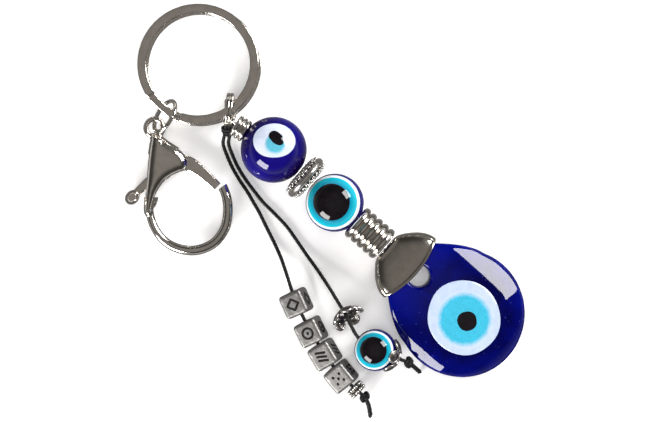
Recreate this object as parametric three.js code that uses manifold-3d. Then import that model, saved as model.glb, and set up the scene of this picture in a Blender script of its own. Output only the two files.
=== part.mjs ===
// An evil eye keychain lying flat on z = 0: a flat split ring carries a lobster clasp on a jump
// ring, and a doubled connector ring carries a bead strand with a capped glass pendant and two
// beaded cords. Millimetres, +Z up. X and Y run across the lying keychain, Y towards the ring.

import * as THREE from 'three';
import { mergeVertices } from 'three/addons/utils/BufferGeometryUtils.js';
import { RoundedBoxGeometry } from 'three/addons/geometries/RoundedBoxGeometry.js';
import Module from 'manifold-3d';

// ---------------------------------------------------------------- driving dimensions

const GAP = 0.3; // clearance kept between separate pieces
const SLIVER = 0.02; // faces thinner than this are merged into their neighbours
const TOUCH = 1e-3; // corners closer together than this are one corner

const RING = {
  radius: 16, // outside
  band: 2.3,
  coil: 1.3, // thickness of one flat coil
  slit: 0.15, // air between the two coils
  sway: 0.3, // sideways shift of each coil off the ring's middle
  raise: 3.07, // how far the near side is held up by the links under it
};
const LINK = { radius: 4.4, wire: 1.1, tilt: 62, bearing: 61.2, onRing: -124, reach: 1.33 }; // as above
const CLASP = { mid: 2.6, eyeRadius: 2.25, eyeWire: 1.4, shell: 4.8, hook: 2.5 };
const LEVER = { plate: 1.6, slot: 2.2, thumbWidth: 2.2, gateWidth: 2.4, hub: 2.3, pin: 1.8 };
const CONNECTOR = {
  radius: 4.1,
  wire: 0.7,
  pitch: 0.8,
  rise: 0.9, // its middle stands this much higher than its radius
  bearing: -92,
  onRing: -56.5, // bearing of its middle from the split ring's middle
  reach: -0.58, // how far its middle is outside the middle of the band
};
const WIRE = {
  thickness: 0.7,
  loop: 1.45,
  loopAngle: 52, // how far round the connector the wire's eye sits, up from level
  loopGap: 0.36,
  loopSide: 0.12,
  loopDrop: 0.27,
  stopBall: 1.8,
};
const HITCH = { size: [3.4, 3.2, 4.0], offset: [-0.1, -4.35, -1.8] };
const TOP_BEAD = { diameter: 6, length: 3.6, ribs: 3, ribDepth: 0.45, bore: 2.0, dish: 0.7, bearing: -33 };
const GLASS = { diameter: 17, centre: [-13.2, 10.5] };
const RONDELLE = { diameter: 12.6, length: 4.2, bore: 2.0 };
const RESIN = { diameter: 15, bore: 1.8 };
const COIL = { diameter: 9.3, length: 10.1, ribs: 5, ribDepth: 0.75, bore: 7.0, dish: 0 };
const STRAND_BEARING = -40.9; // degrees, seen from above
const CAP = { top: 7.7, topDepth: 4.4, slack: [0.71, 0.32], length: 8, bow: 2, wall: 0.8, crown: 1.2 };
const PENDANT = {
  radius: 16.6,
  centre: 26, // from the cap's crown
  neckStart: 4.4,
  back: 3.5,
  rim: 1.9,
  dome: 4.3,
  hole: 5.4,
  holeAt: 11,
};
const PENDANT_FALL = 4.3; // degrees that the pendant slopes down to the floor
const CAP_PIN = { diameter: 1.5, at: 9.3 };
const CUBE = { side: 6, fillet: 0.8, bore: 3.0, roll: 18 };
const SPACER = { diameter: 5, length: 2.5, bore: 1.9 };
const SMALL_RESIN = { diameter: 10.9, bore: 3.4, centre: [13.0, -41.1], bearing: -32 };
const FLOWER = { radius: 4.9, depth: 2.6, wall: 0.6, bore: 2.0, petals: 5, notch: 0.2 };
const CORD = { diameter: 0.95, sides: 8 };

// Eye patterns: the diameter of each fused layer from the outside in, and how deep it reaches.
const GLASS_EYE = { layers: [9.6, 6.0, 3.6], depths: [2.6, 1.9, 1.1], lean: 24, bearing: 84 };
const RESIN_EYE = { layers: [13.4, 12.2, 9.2], depths: [4.9, 4.0, 2.6], lean: 9, bearing: 170 };
const SMALL_EYE = { layers: [9.7, 8.8, 6.8], depths: [3.5, 2.8, 1.9], lean: 9, bearing: 175 };
const PENDANT_EYE = { layers: [19.1, 13.5, 5.1], depths: [2.6, 1.9, 1.2], shift: [0.7, -0.4] };

// Cord routes: chosen points from the hitch to the knots.
const CORD_LEFT = [
  [-26.0, 14.5, 2.4], [-26.4, 12.3, 1.2], [-25.3, 8.9, 0.6], [-23.8, 5.6, 0.5], [-21.9, 2.4, 0.5],
  [-20.1, -0.3, 0.5], [-18.6, -2.9, 0.5], [-17.0, -5.7, 0.5], [-15.0, -9.8, 0.5], [-13.0, -13.8, 0.6],
  [-11.4, -17.4, 1.2], [-9.9, -21.7, 2.4], [-8.5, -26.0, 3.5],
];
const CORD_RIGHT = [
  [-24.6, 14.5, 2.4], [-25.0, 12.4, 1.2], [-24.0, 9.3, 0.6], [-22.6, 6.2, 0.5], [-20.7, 3.1, 0.5],
  [-18.8, 0.5, 0.5], [-16.1, -2.9, 0.5], [-12.5, -6.5, 0.5], [-9.9, -9.3, 0.5], [-6.5, -14.1, 0.6],
  [-4.2, -17.4, 1.0], [-1.8, -20.7, 1.8], [1.8, -26.2, 3.4], [4.0, -29.8, 4.3],
];
// The right cord on from the upper flower cap, through the drop bead.
const DROP_ROUTE = [[6.6, -34.6, 5.3], [8.6, -37.9, 5.45], [13.0, -41.0, 5.45], [17.7, -43.2, 5.45]];
// Where each piece on the cords sits, with the bearing of its bore, from the top one down.
const CUBES = [
  { at: [-7.4, -29.0], bearing: -66 },
  { at: [-3.6, -36.4], bearing: -64 },
  { at: [0.0, -42.3], bearing: -59 },
  { at: [4.2, -47.9], bearing: -51 },
];
const LEFT_SPACER = { at: [8.1, -51.4, 2.7], bearing: -43 };
const LEFT_KNOT = { at: [10.3, -53.4, 1.9], bearing: -50, tail: [[11.3, -55.6, 0.9], [11.8, -58.6, 0.5]] };
const FLOWER_UPPER = { at: [5.4, -32.0, 4.9], bearing: -57 };
const FLOWER_LOWER = { reach: 6.35, bearing: -20 };
const RIGHT_KNOT = { at: [21.6, -44.3, 4.6], bearing: -25, tail: [[23.4, -45.9, 2.4], [24.6, -47.0, 0.7]] };

// ---------------------------------------------------------------- helpers

const wasm = await Module();
wasm.setup();
const group = new THREE.Group();
const UP = new THREE.Vector3(0, 0, 1);
const degrees = THREE.MathUtils.degToRad;
const vector = (p) => new THREE.Vector3(...p);
const heading = (bearing) => new THREE.Vector3(Math.cos(degrees(bearing)), Math.sin(degrees(bearing)), 0);

// The bare closed surface: one vertex per place, without the faces that merging shrinks to a line.
function merged(shape) {
  const bare = shape.clone();
  for (const name of Object.keys(bare.attributes)) {
    if (name !== 'position') bare.deleteAttribute(name);
  }
  const g = mergeVertices(bare, TOUCH);
  const faces = [];
  for (let i = 0; i < g.index.count; i += 3) {
    const [a, b, c] = g.index.array.slice(i, i + 3);
    if (a !== b && b !== c && c !== a) faces.push(a, b, c);
  }
  return g.setIndex(faces);
}

// A closed mesh as a solid that can be cut and joined; a solid passes through unchanged.
function solid(shape) {
  if (shape instanceof wasm.Manifold) return shape;
  const g = merged(shape);
  return new wasm.Manifold(new wasm.Mesh({
    numProp: 3,
    vertProperties: new Float32Array(g.attributes.position.array),
    triVerts: new Uint32Array(g.index.array),
  }));
}

function geometry(shape) {
  const mesh = solid(shape).simplify(SLIVER).getMesh();
  const g = new THREE.BufferGeometry();
  g.setAttribute('position', new THREE.BufferAttribute(mesh.vertProperties, 3));
  g.setIndex(new THREE.BufferAttribute(mesh.triVerts, 1));
  return g;
}

const cut = (body, ...tools) => tools.reduce((whole, tool) => whole.subtract(solid(tool)), solid(body));
const join = (...pieces) => pieces.map(solid).reduce((a, b) => a.add(b));
const common = (a, b) => solid(a).intersect(solid(b));

function metal(color, roughness = 0.25) {
  return new THREE.MeshStandardMaterial({ color, roughness, metalness: 1 });
}

function glossy(color, roughness = 0.1) {
  return new THREE.MeshStandardMaterial({ color, roughness, metalness: 0 });
}

const NICKEL = metal(0x9a948c);
const GUNMETAL = metal(0x5f5952, 0.3);
const ANTIQUE = metal(0x7c7a76, 0.5);
const COBALT = glossy(0x0a1a8c, 0.05);
const WHITE = glossy(0xf2f4f6);
const SKY = glossy(0x45c8e8);
const CYAN = glossy(0x10a0c8);
const BLACK = glossy(0x060608);
const CORD_BLACK = glossy(0x0b0b0c, 0.7);

function add(name, shape, material, place) {
  const mesh = new THREE.Mesh(geometry(shape), material);
  mesh.name = name;
  if (place) mesh.applyMatrix4(place);
  group.add(mesh);
}

// A frame whose local Z runs along a direction, with local X as level as it can be.
function frameAlong(origin, direction, roll = 0) {
  const z = direction.clone().normalize();
  const x = new THREE.Vector3().crossVectors(UP, z).normalize();
  const y = new THREE.Vector3().crossVectors(z, x);
  const matrix = new THREE.Matrix4().makeBasis(x, y, z);
  matrix.multiply(new THREE.Matrix4().makeRotationZ(degrees(roll)));
  return matrix.setPosition(origin);
}

function rod(diameter, from, to, sides = 16) {
  const g = new THREE.CylinderGeometry(diameter / 2, diameter / 2, to - from, sides);
  g.rotateX(Math.PI / 2);
  return g.translate(0, 0, (from + to) / 2);
}

function ball(diameter, across = 18, down = 12) {
  return new THREE.SphereGeometry(diameter / 2, across, down).rotateX(Math.PI / 2);
}

function lathe(points, segments = 18) {
  const profile = points.map(([r, z]) => new THREE.Vector2(r, z));
  profile.push(profile[0].clone());
  return new THREE.LatheGeometry(profile, segments).rotateX(Math.PI / 2);
}

function circle(diameter, sides) {
  const shape = new THREE.Shape();
  for (let i = 0; i < sides; i += 1) {
    const a = (2 * Math.PI * i) / sides;
    const move = i ? 'lineTo' : 'moveTo';
    shape[move]((diameter / 2) * Math.cos(a), (diameter / 2) * Math.sin(a));
  }
  shape.closePath();
  return shape;
}

function tube(path, diameter, steps, sides = 10) {
  const section = circle(diameter, sides);
  return new THREE.ExtrudeGeometry(section, { steps, extrudePath: path, bevelEnabled: false });
}

const smooth = (points) => new THREE.CatmullRomCurve3(points.map(vector), false, 'centripetal');

// A flat plate with a smooth outline through the points and a small round on its edges.
function plate(points, thickness, mid, round) {
  const curve = new THREE.CatmullRomCurve3(points.map(([x, y]) => new THREE.Vector3(x, y, 0)), true);
  const outline = curve.getSpacedPoints(34).slice(0, -1).map(({ x, y }) => new THREE.Vector2(x, y));
  const g = new THREE.ExtrudeGeometry(new THREE.Shape(outline), {
    depth: thickness - 2 * round,
    bevelThickness: round,
    bevelSize: round,
    bevelOffset: -round,
    bevelSegments: 1,
  });
  return g.translate(0, 0, mid - thickness / 2 + round);
}

function prism(points, thickness, mid) {
  const shape = new THREE.Shape(points.map(([x, y]) => new THREE.Vector2(x, y)));
  return new THREE.ExtrudeGeometry(shape, { depth: thickness, bevelEnabled: false })
    .translate(0, 0, mid - thickness / 2);
}

// A flat bar with round ends between two points, centred on z = mid.
function bar([x1, y1], [x2, y2], width, thickness, mid) {
  const shape = new THREE.Shape();
  const a = Math.atan2(y2 - y1, x2 - x1) + Math.PI / 2;
  shape.absarc(x1, y1, width / 2, a, a + Math.PI, false);
  shape.absarc(x2, y2, width / 2, a + Math.PI, a + 2 * Math.PI, false);
  shape.closePath();
  const g = new THREE.ExtrudeGeometry(shape, { depth: thickness, bevelEnabled: false, curveSegments: 4 });
  return g.translate(0, 0, mid - thickness / 2);
}

// Closed rings of points joined one to the next, with a flat lid on the first and the last.
function loft(rings) {
  const count = rings[0].length;
  const positions = rings.flat(2);
  const index = [];
  for (let k = 0; k + 1 < rings.length; k += 1) {
    for (let i = 0; i < count; i += 1) {
      const j = (i + 1) % count;
      const [a, b, c, d] = [k * count + i, k * count + j, (k + 1) * count + j, (k + 1) * count + i];
      index.push(a, b, c, a, c, d);
    }
  }
  for (const [ring, flip] of [[0, true], [rings.length - 1, false]]) {
    const centre = positions.length / 3;
    const sum = rings[ring].reduce((s, p) => s.map((v, n) => v + p[n] / count), [0, 0, 0]);
    positions.push(...sum);
    for (let i = 0; i < count; i += 1) {
      const pair = [ring * count + i, ring * count + ((i + 1) % count)];
      if (flip) pair.reverse();
      index.push(centre, ...pair);
    }
  }
  const g = new THREE.BufferGeometry();
  g.setAttribute('position', new THREE.Float32BufferAttribute(positions, 3));
  g.setIndex(index);
  return g;
}

// ---------------------------------------------------------------- where the pieces sit

// The strand lies on its two big beads, so its axis falls from one bead's middle to the other's.
const strandFall = Math.atan2((GLASS.diameter - RESIN.diameter) / 2, 21);
const strandAxis = heading(STRAND_BEARING).multiplyScalar(Math.cos(strandFall));
strandAxis.z = -Math.sin(strandFall);
const strandStart = new THREE.Vector3(...GLASS.centre, GLASS.diameter / 2);
const onStrand = (distance) => strandStart.clone().addScaledVector(strandAxis, distance);

const rondelleAt = GLASS.diameter / 2 + GAP + RONDELLE.length / 2;
const resinAt = rondelleAt + RONDELLE.length / 2 + GAP + RESIN.diameter / 2;
const seat = Math.sqrt((RESIN.diameter / 2) ** 2 - (COIL.bore / 2 - 2 * GAP) ** 2);
const coilAt = resinAt + seat + COIL.length / 2;
const capAt = coilAt + COIL.length / 2 + 2 * GAP;
const ballAt = capAt + CAP.crown + 0.4 + WIRE.stopBall / 2;

// The wire's eye hangs on the connector where that ring turns down past the split ring. The
// strand bends a little inside the glass bead, so that the ribbed bead runs from there to the eye.
const loopAngle = degrees(WIRE.loopAngle);
const connectorZ = CONNECTOR.radius + CONNECTOR.rise;
const loopZ = connectorZ + CONNECTOR.radius * Math.sin(loopAngle);
const topSeat = Math.sqrt((GLASS.diameter / 2) ** 2 - (TOP_BEAD.diameter / 2) ** 2) + GAP;
const topPitch = Math.asin((strandStart.z - loopZ - WIRE.loopDrop) / (topSeat + TOP_BEAD.length));
const topAxis = heading(TOP_BEAD.bearing).multiplyScalar(Math.cos(topPitch))
  .addScaledVector(UP, Math.sin(topPitch));
const topCentre = strandStart.clone().addScaledVector(topAxis, -topSeat - TOP_BEAD.length / 2);
const glassAxis = strandAxis.clone().add(topAxis).normalize();
const glassBore = WIRE.thickness + 2 * GAP + GLASS.diameter * Math.tan(topAxis.angleTo(strandAxis) / 2);
const loopBack = TOP_BEAD.length / 2 + WIRE.loop + WIRE.thickness / 2 + WIRE.loopGap;
const loopCentre = topCentre.clone().addScaledVector(topAxis, -loopBack)
  .addScaledVector(heading(TOP_BEAD.bearing + 90), WIRE.loopSide)
  .setZ(loopZ);
const loopNormal = heading(CONNECTOR.bearing).multiplyScalar(-Math.sin(loopAngle))
  .addScaledVector(UP, Math.cos(loopAngle));
const connectorCentre = loopCentre.clone()
  .addScaledVector(heading(CONNECTOR.bearing), -CONNECTOR.radius * Math.cos(loopAngle))
  .setZ(connectorZ);

// The split ring hangs in the connector, the jump ring on the split ring, the clasp on the jump ring.
const ringMiddle = RING.radius - RING.band / 2 - RING.sway;
const ringCentre = connectorCentre.clone()
  .addScaledVector(heading(CONNECTOR.onRing), -ringMiddle - CONNECTOR.reach).setZ(RING.raise / 2);
const linkAlong = heading(LINK.bearing);
const linkAcross = heading(LINK.bearing - 90);
const linkTilt = degrees(LINK.tilt);
const linkUp = linkAcross.clone().multiplyScalar(Math.cos(linkTilt)).addScaledVector(UP, Math.sin(linkTilt));
const linkHeight = LINK.radius * Math.sin(linkTilt) + LINK.wire / 2;
const linkCentre = ringCentre.clone()
  .addScaledVector(heading(LINK.onRing), ringMiddle + LINK.reach).setZ(linkHeight);
const eyeDip = (CLASP.mid - linkHeight) / (LINK.radius * Math.sin(linkTilt));
const claspEye = linkCentre.clone()
  .addScaledVector(linkAlong, -LINK.radius * Math.sqrt(1 - eyeDip * eyeDip))
  .addScaledVector(linkAcross, LINK.radius * eyeDip * Math.cos(linkTilt))
  .setZ(CLASP.mid);
const hitchCentre = connectorCentre.clone().add(vector(HITCH.offset));

// ---------------------------------------------------------------- split ring and jump ring

// Two flat turns: the top one ends at 250 degrees, and steps down to the lower one from 211 to 236.
class RingPath extends THREE.Curve {
  getPoint(t, target = new THREE.Vector3()) {
    const [start, ramp, landed, end] = [250, 571, 596, 925].map(degrees);
    const angle = start + t * (end - start);
    const drop = THREE.MathUtils.smoothstep(angle, ramp, landed);
    const level = RING.coil / 2 + (1 - drop) * (RING.coil + RING.slit);
    const shift = RING.sway * (2 * drop - 1);
    return target.set(ringMiddle * Math.cos(angle) + shift, ringMiddle * Math.sin(angle) - shift / 2, level);
  }

  computeFrenetFrames(segments) {
    const frames = { tangents: [], normals: [], binormals: [] };
    for (let i = 0; i <= segments; i += 1) {
      const tangent = this.getTangentAt(i / segments);
      const normal = new THREE.Vector3().crossVectors(tangent, UP).normalize();
      frames.tangents.push(tangent);
      frames.normals.push(normal);
      frames.binormals.push(new THREE.Vector3().crossVectors(tangent, normal).normalize());
    }
    return frames;
  }
}

const ringPlace = new THREE.Matrix4()
  .makeTranslation(...ringCentre)
  .multiply(new THREE.Matrix4().makeRotationX(-Math.asin(RING.raise / 2 / RING.radius)));

function splitRing() {
  const w = RING.band / 2;
  const h = RING.coil / 2;
  const section = new THREE.Shape([[-w, -h], [w, -h], [w, h], [-w, h]].map((p) => new THREE.Vector2(...p)));
  return new THREE.ExtrudeGeometry(section, { steps: 84, extrudePath: new RingPath(), bevelEnabled: false });
}
add('split_ring', splitRing(), NICKEL, ringPlace);

// The jump ring stands on edge: it passes under the band on one side and over it on the other,
// and dips through the clasp's eye.
const linkNormal = new THREE.Vector3().crossVectors(linkAlong, linkUp);
const linkPlace = new THREE.Matrix4().makeBasis(linkAlong, linkUp, linkNormal).setPosition(linkCentre);
add('clasp_link', new THREE.TorusGeometry(LINK.radius, LINK.wire / 2, 6, 22), NICKEL, linkPlace);

// ---------------------------------------------------------------- lobster clasp, drawn from its eye

const claspPlace = new THREE.Matrix4().makeTranslation(...claspEye);
const PIVOT = [2.2, -11.3];
const SHELL_OUTLINE = [
  [-0.7, -1.7], [-1.3, -3.4], [-1.9, -8.5], [-2.2, -13.5], [-2.7, -20.0], [-2.0, -22.4], [0.0, -22.2],
  [0.8, -20.0], [1.0, -17.6], [2.3, -14.0], [5.2, -12.2], [9.4, -12.0], [11.3, -11.6], [11.4, -9.6],
  [9.5, -7.4], [5.6, -4.4], [2.2, -2.6], [1.3, -1.7],
];
const SLOT_OUTLINE = [[-9, -18], [-9, -8.2], [-1.8, -6.9], [4, -5.4], [14, -5.4], [14, -17], [1.6, -18]];
const HOOK_ROUTE = [
  [-0.9, -19.6, 0], [-0.3, -24.0, 0], [2.6, -28.7, 0], [7.0, -31.2, 0], [11.2, -31.4, 0],
  [15.2, -29.6, 0], [18.0, -25.8, 0], [18.8, -21.6, 0], [18.5, -18.2, 0], [17.5, -15.0, 0],
];
const LEVER_BENDS = [[-5.7, -17.0], PIVOT, [9.2, -9.7], [14.6, -14.2]];

function claspBody() {
  const eye = new THREE.TorusGeometry(CLASP.eyeRadius, CLASP.eyeWire / 2, 6, 16);
  const neck = rod(CLASP.eyeWire, -1.5, 1.5, 12).rotateX(Math.PI / 2).translate(0.2, -3.0, 0);
  const shell = plate(SHELL_OUTLINE, CLASP.shell, 0, 0.8);
  const hook = tube(smooth(HOOK_ROUTE), CLASP.hook, 18, 8);
  const tip = ball(CLASP.hook, 8, 6).translate(...HOOK_ROUTE.at(-1));
  const slot = prism(SLOT_OUTLINE, LEVER.slot, 0);
  const pinHole = rod(LEVER.pin + 2 * GAP, -CLASP.shell, CLASP.shell).translate(...PIVOT, 0);
  return join(cut(shell, slot, pinHole), eye, neck, hook, tip);
}

function claspLever() {
  const [thumb, pivot, elbow, gate] = LEVER_BENDS;
  const arm = bar(thumb, pivot, LEVER.thumbWidth, LEVER.plate, 0);
  const beam = bar(pivot, elbow, LEVER.gateWidth, LEVER.plate, 0);
  const tongue = bar(elbow, gate, LEVER.gateWidth, LEVER.plate, 0);
  const hub = rod(2 * LEVER.hub, -LEVER.plate / 2, LEVER.plate / 2, 14).translate(...pivot, 0);
  const pad = ball(3.7, 12, 8).scale(1.1, 0.92, 1).translate(...thumb, 0);
  const hole = rod(LEVER.pin + 2 * GAP, -2, 2).translate(...pivot, 0);
  return cut(join(arm, beam, tongue, hub, pad), hole);
}

function claspRivet() {
  const r = LEVER.pin / 2;
  const h = CLASP.shell / 2;
  return lathe([[0, -h], [r * 0.8, -h], [r, -h + 0.2], [r, h - 0.2], [r * 0.8, h], [0, h]], 16)
    .translate(...PIVOT, 0);
}

function claspSpring() {
  const [x, y] = [PIVOT[0], PIVOT[1] + LEVER.hub + GAP + 0.35];
  const leaf = [[x - 2.6, y + 0.3], [x, y], [x + 3.0, y + 0.3], [x + 5.2, y + 0.9]];
  const outline = [...leaf, ...leaf.map(([a, b]) => [a, b + 0.4]).reverse()];
  return prism(outline, LEVER.plate, 0);
}
add('clasp_body', claspBody(), NICKEL, claspPlace);
add('clasp_lever', claspLever(), NICKEL, claspPlace);
add('clasp_rivet', claspRivet(), GUNMETAL, claspPlace);
add('clasp_spring', claspSpring(), GUNMETAL, claspPlace);

// ---------------------------------------------------------------- connector ring

class ConnectorPath extends THREE.Curve {
  getPoint(t, target = new THREE.Vector3()) {
    const angle = degrees(WIRE.loopAngle - 180) + t * 4 * Math.PI;
    const outward = heading(CONNECTOR.bearing);
    const side = heading(CONNECTOR.bearing + 90);
    return target.copy(connectorCentre)
      .addScaledVector(outward, CONNECTOR.radius * Math.cos(angle))
      .addScaledVector(UP, CONNECTOR.radius * Math.sin(angle))
      .addScaledVector(side, CONNECTOR.pitch * (2 * t - 1));
  }
}
add('connector_ring', tube(new ConnectorPath(), CONNECTOR.wire, 44, 6), NICKEL);

// ---------------------------------------------------------------- strand: wire and beads on it

// The eye layers of a round bead: coaxial caps of the sphere, each set into the one around it.
function eyeBead(name, sphere, boreTool, eye, place, bodyMaterial, layerMaterials) {
  const radius = sphere / 2;
  const pole = heading(eye.bearing).multiplyScalar(Math.sin(degrees(eye.lean)));
  pole.z = Math.cos(degrees(eye.lean));
  const toPole = frameAlong(new THREE.Vector3(), pole);
  const origin = new THREE.Matrix4().makeTranslation(place);
  const post = (diameter, depth) => rod(diameter, radius - depth, radius + 1, 18).applyMatrix4(toPole);
  const round = () => ball(sphere);
  const pocket = (k) => post(eye.layers[k] + 2 * GAP, eye.depths[k] + GAP);
  const body = cut(round(), boreTool(), pocket(0));
  add(name, body, bodyMaterial, origin);
  const names = ['white', 'blue', 'pupil'];
  eye.layers.forEach((diameter, k) => {
    let layer = common(round(), post(diameter, eye.depths[k]));
    if (k + 1 < eye.layers.length) layer = cut(layer, pocket(k + 1));
    layer = cut(layer, boreTool());
    add(`${name}_${names[k]}`, layer, layerMaterials[k], origin);
  });
}

// A ribbed sleeve; dish sinks the far end's middle so that it clears the round bead it sits on.
function ribbedSleeve({ diameter, length, ribs, ribDepth, bore, dish }) {
  const steps = 4 * ribs;
  const points = [[bore / 2, -length / 2]];
  for (let i = 0; i <= steps; i += 1) {
    const groove = 1 - Math.abs(Math.sin((Math.PI * ribs * i) / steps));
    points.push([diameter / 2 - ribDepth * groove, -length / 2 + (i / steps) * length]);
  }
  points.push([bore / 2, length / 2 - dish]);
  return lathe(points, 16);
}

function rondelle() {
  const r = RONDELLE.diameter / 2;
  const h = RONDELLE.length / 2;
  const b = RONDELLE.bore / 2;
  return lathe([
    [b, -h], [b + 1.2, -h], [r * 0.55, -h * 0.95], [r * 0.82, -h * 0.72], [r * 0.94, -h * 0.45],
    [r, -h * 0.3], [r, h * 0.3], [r * 0.94, h * 0.45], [r * 0.82, h * 0.72], [r * 0.55, h * 0.95],
    [b + 1.2, h], [b, h],
  ]);
}

function strandWire() {
  const loop = new THREE.TorusGeometry(WIRE.loop, WIRE.thickness / 2, 6, 18);
  loop.applyMatrix4(frameAlong(loopCentre, loopNormal));
  const towards = topCentre.clone().sub(loopCentre);
  towards.addScaledVector(loopNormal, -towards.dot(loopNormal)).normalize();
  const stem = loopCentre.clone().addScaledVector(towards, WIRE.loop);
  const route = [
    stem, topCentre.clone().addScaledVector(topAxis, -TOP_BEAD.length / 4), topCentre, onStrand(0),
    onStrand(rondelleAt), onStrand(resinAt), onStrand(coilAt), onStrand(ballAt),
  ];
  const path = new THREE.CatmullRomCurve3(route, false, 'centripetal');
  const stop = ball(WIRE.stopBall, 12, 8).translate(...onStrand(ballAt));
  return join(loop, tube(path, WIRE.thickness, 26, 6), stop);
}

const bore = (diameter, axis) => () => rod(diameter, -GLASS.diameter, GLASS.diameter)
  .applyMatrix4(frameAlong(new THREE.Vector3(), axis));
add('strand_wire', strandWire(), NICKEL);
add('top_bead', ribbedSleeve(TOP_BEAD), NICKEL, frameAlong(topCentre, topAxis));
eyeBead('glass_bead', GLASS.diameter, bore(glassBore, glassAxis), GLASS_EYE, onStrand(0), COBALT,
  [WHITE, SKY, BLACK]);
add('rondelle', rondelle(), ANTIQUE, frameAlong(onStrand(rondelleAt), strandAxis));
eyeBead('resin_bead', RESIN.diameter, bore(RESIN.bore, strandAxis), RESIN_EYE, onStrand(resinAt), COBALT,
  [WHITE, CYAN, BLACK]);
add('coil_bead', ribbedSleeve(COIL), NICKEL, frameAlong(onStrand(coilAt), strandAxis));

// ---------------------------------------------------------------- pendant: cap, glass, pin

const pendantAxis = heading(STRAND_BEARING - 0.4).multiplyScalar(Math.cos(degrees(PENDANT_FALL)));
pendantAxis.z = -Math.sin(degrees(PENDANT_FALL));
const pendantLeft = new THREE.Vector3().crossVectors(UP, pendantAxis).normalize();
const pendantUp = new THREE.Vector3().crossVectors(pendantAxis, pendantLeft);
const pendantPlace = new THREE.Matrix4().makeBasis(pendantAxis, pendantLeft, pendantUp)
  .setPosition(onStrand(capAt));

// Half the width of the glass at a distance down the pendant: a circle that runs out to the neck.
function pendantHalfWidth(along) {
  const fromCentre = along - PENDANT.centre;
  const round = Math.sqrt(Math.max(0, PENDANT.radius ** 2 - fromCentre ** 2));
  const shoulder = 20;
  if (along >= shoulder) return round;
  const atShoulder = Math.sqrt(PENDANT.radius ** 2 - (shoulder - PENDANT.centre) ** 2);
  const u = (shoulder - along) / (shoulder - PENDANT.neckStart);
  return THREE.MathUtils.lerp(atShoulder, 5.2, u ** 1.55);
}

// The glass thins towards its neck, and its flat back begins where the neck ends; the cap's mouth is
// as wide and as deep as the glass in it.
const neckEnd = PENDANT.neckStart + 9;
const neckShare = (along) => 0.72 + 0.28 * THREE.MathUtils.clamp((along - PENDANT.neckStart) / 9, 0, 1);
const mouthHalf = pendantHalfWidth(CAP.length) + CAP.slack[0] + CAP.wall;
const mouthHalfDepth = PENDANT.dome * neckShare(CAP.length) + CAP.slack[1] + CAP.wall;

// Cross-sections of the cap: rounded rectangles that swell from the crown to the mouth.
function capRing(share, inset, bottom) {
  const swell = Math.sin((Math.PI / 2) * share) ** 0.8;
  const w = THREE.MathUtils.lerp(CAP.top / 2, mouthHalf, swell) - inset;
  const t = THREE.MathUtils.lerp(CAP.topDepth / 2, mouthHalfDepth, swell) - inset;
  const ring = [];
  const sides = 28;
  for (let i = 0; i < sides; i += 1) {
    const a = (2 * Math.PI * i) / sides;
    const y = w * Math.sign(Math.cos(a)) * Math.abs(Math.cos(a)) ** 0.6;
    const z = t * Math.sign(Math.sin(a)) * Math.abs(Math.sin(a)) ** 0.6;
    const edge = CAP.length + CAP.bow * (1 - (y / w) ** 2);
    ring.push([bottom + (edge - bottom) * share, y, z]);
  }
  return ring;
}

function pendantCap() {
  const shares = [0, 0.12, 0.3, 0.54, 0.78, 1];
  const outer = shares.map((s) => capRing(s, 0, 0));
  const inner = shares.map((s) => capRing(s, CAP.wall, CAP.crown)).reverse();
  const hole = rod(WIRE.thickness + 4 * GAP, -1, CAP.crown + 1).rotateY(Math.PI / 2);
  return cut(loft([...outer, ...inner]), hole);
}

function pendantOutline() {
  const points = [];
  const end = PENDANT.centre + PENDANT.radius;
  const steps = 22;
  for (let i = 0; i <= steps; i += 1) {
    const share = (1 - Math.cos((Math.PI * i) / steps)) / 2;
    const along = THREE.MathUtils.lerp(PENDANT.neckStart, end, share);
    points.push([along, pendantHalfWidth(along)]);
  }
  const back = points.slice(1, -1).reverse().map(([x, y]) => [x, -y]);
  return [...points, ...back, [PENDANT.neckStart, -points[0][1]]].reverse();
}

function glassLump() {
  const outline = pendantOutline();
  const levels = [
    [0.9, -PENDANT.back], [0.97, -PENDANT.back + 0.5], [1, -PENDANT.rim + 0.9], [0.995, PENDANT.rim - 1.2],
    [0.96, PENDANT.rim - 0.2], [0.86, 0.62 * PENDANT.dome], [0.68, 0.82 * PENDANT.dome],
    [0.44, 0.95 * PENDANT.dome], [0.2, PENDANT.dome],
  ];
  return loft(levels.map(([scale, z]) => outline.map(([x, y]) => {
    const px = Math.max(PENDANT.centre + (x - PENDANT.centre) * scale, z === -PENDANT.back ? neckEnd : 0);
    return [px, y * scale, z * neckShare(px)];
  })));
}

function layerPost(diameter, depth) {
  const [dx, dy] = PENDANT_EYE.shift;
  return rod(diameter, PENDANT.dome - depth, PENDANT.dome + 1, 22).translate(PENDANT.centre + dx, dy, 0);
}

function pendantLayer(k) {
  const { layers, depths } = PENDANT_EYE;
  const layer = common(glassLump(), layerPost(layers[k], depths[k]));
  return k < 2 ? cut(layer, layerPost(layers[k + 1] + 2 * GAP, depths[k + 1] + GAP)) : layer;
}

function pendantGlass() {
  const hole = rod(PENDANT.hole, -8, 8, 18).translate(PENDANT.holeAt, 0, 0);
  const pocket = layerPost(PENDANT_EYE.layers[0] + 2 * GAP, PENDANT_EYE.depths[0] + GAP);
  return cut(glassLump(), hole, pocket);
}

function capPin() {
  const reach = mouthHalfDepth - CAP.wall - GAP;
  return rod(CAP_PIN.diameter, -reach, reach, 14).translate(CAP_PIN.at, 0, 0);
}
add('pendant_cap', pendantCap(), GUNMETAL, pendantPlace);
add('cap_pin', capPin(), GUNMETAL, pendantPlace);
add('pendant_glass', pendantGlass(), COBALT, pendantPlace);
['white', 'blue', 'pupil'].forEach((name, k) => {
  add(`pendant_${name}`, pendantLayer(k), [WHITE, SKY, BLACK][k], pendantPlace);
});

// ---------------------------------------------------------------- cord hitch and cords

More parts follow.
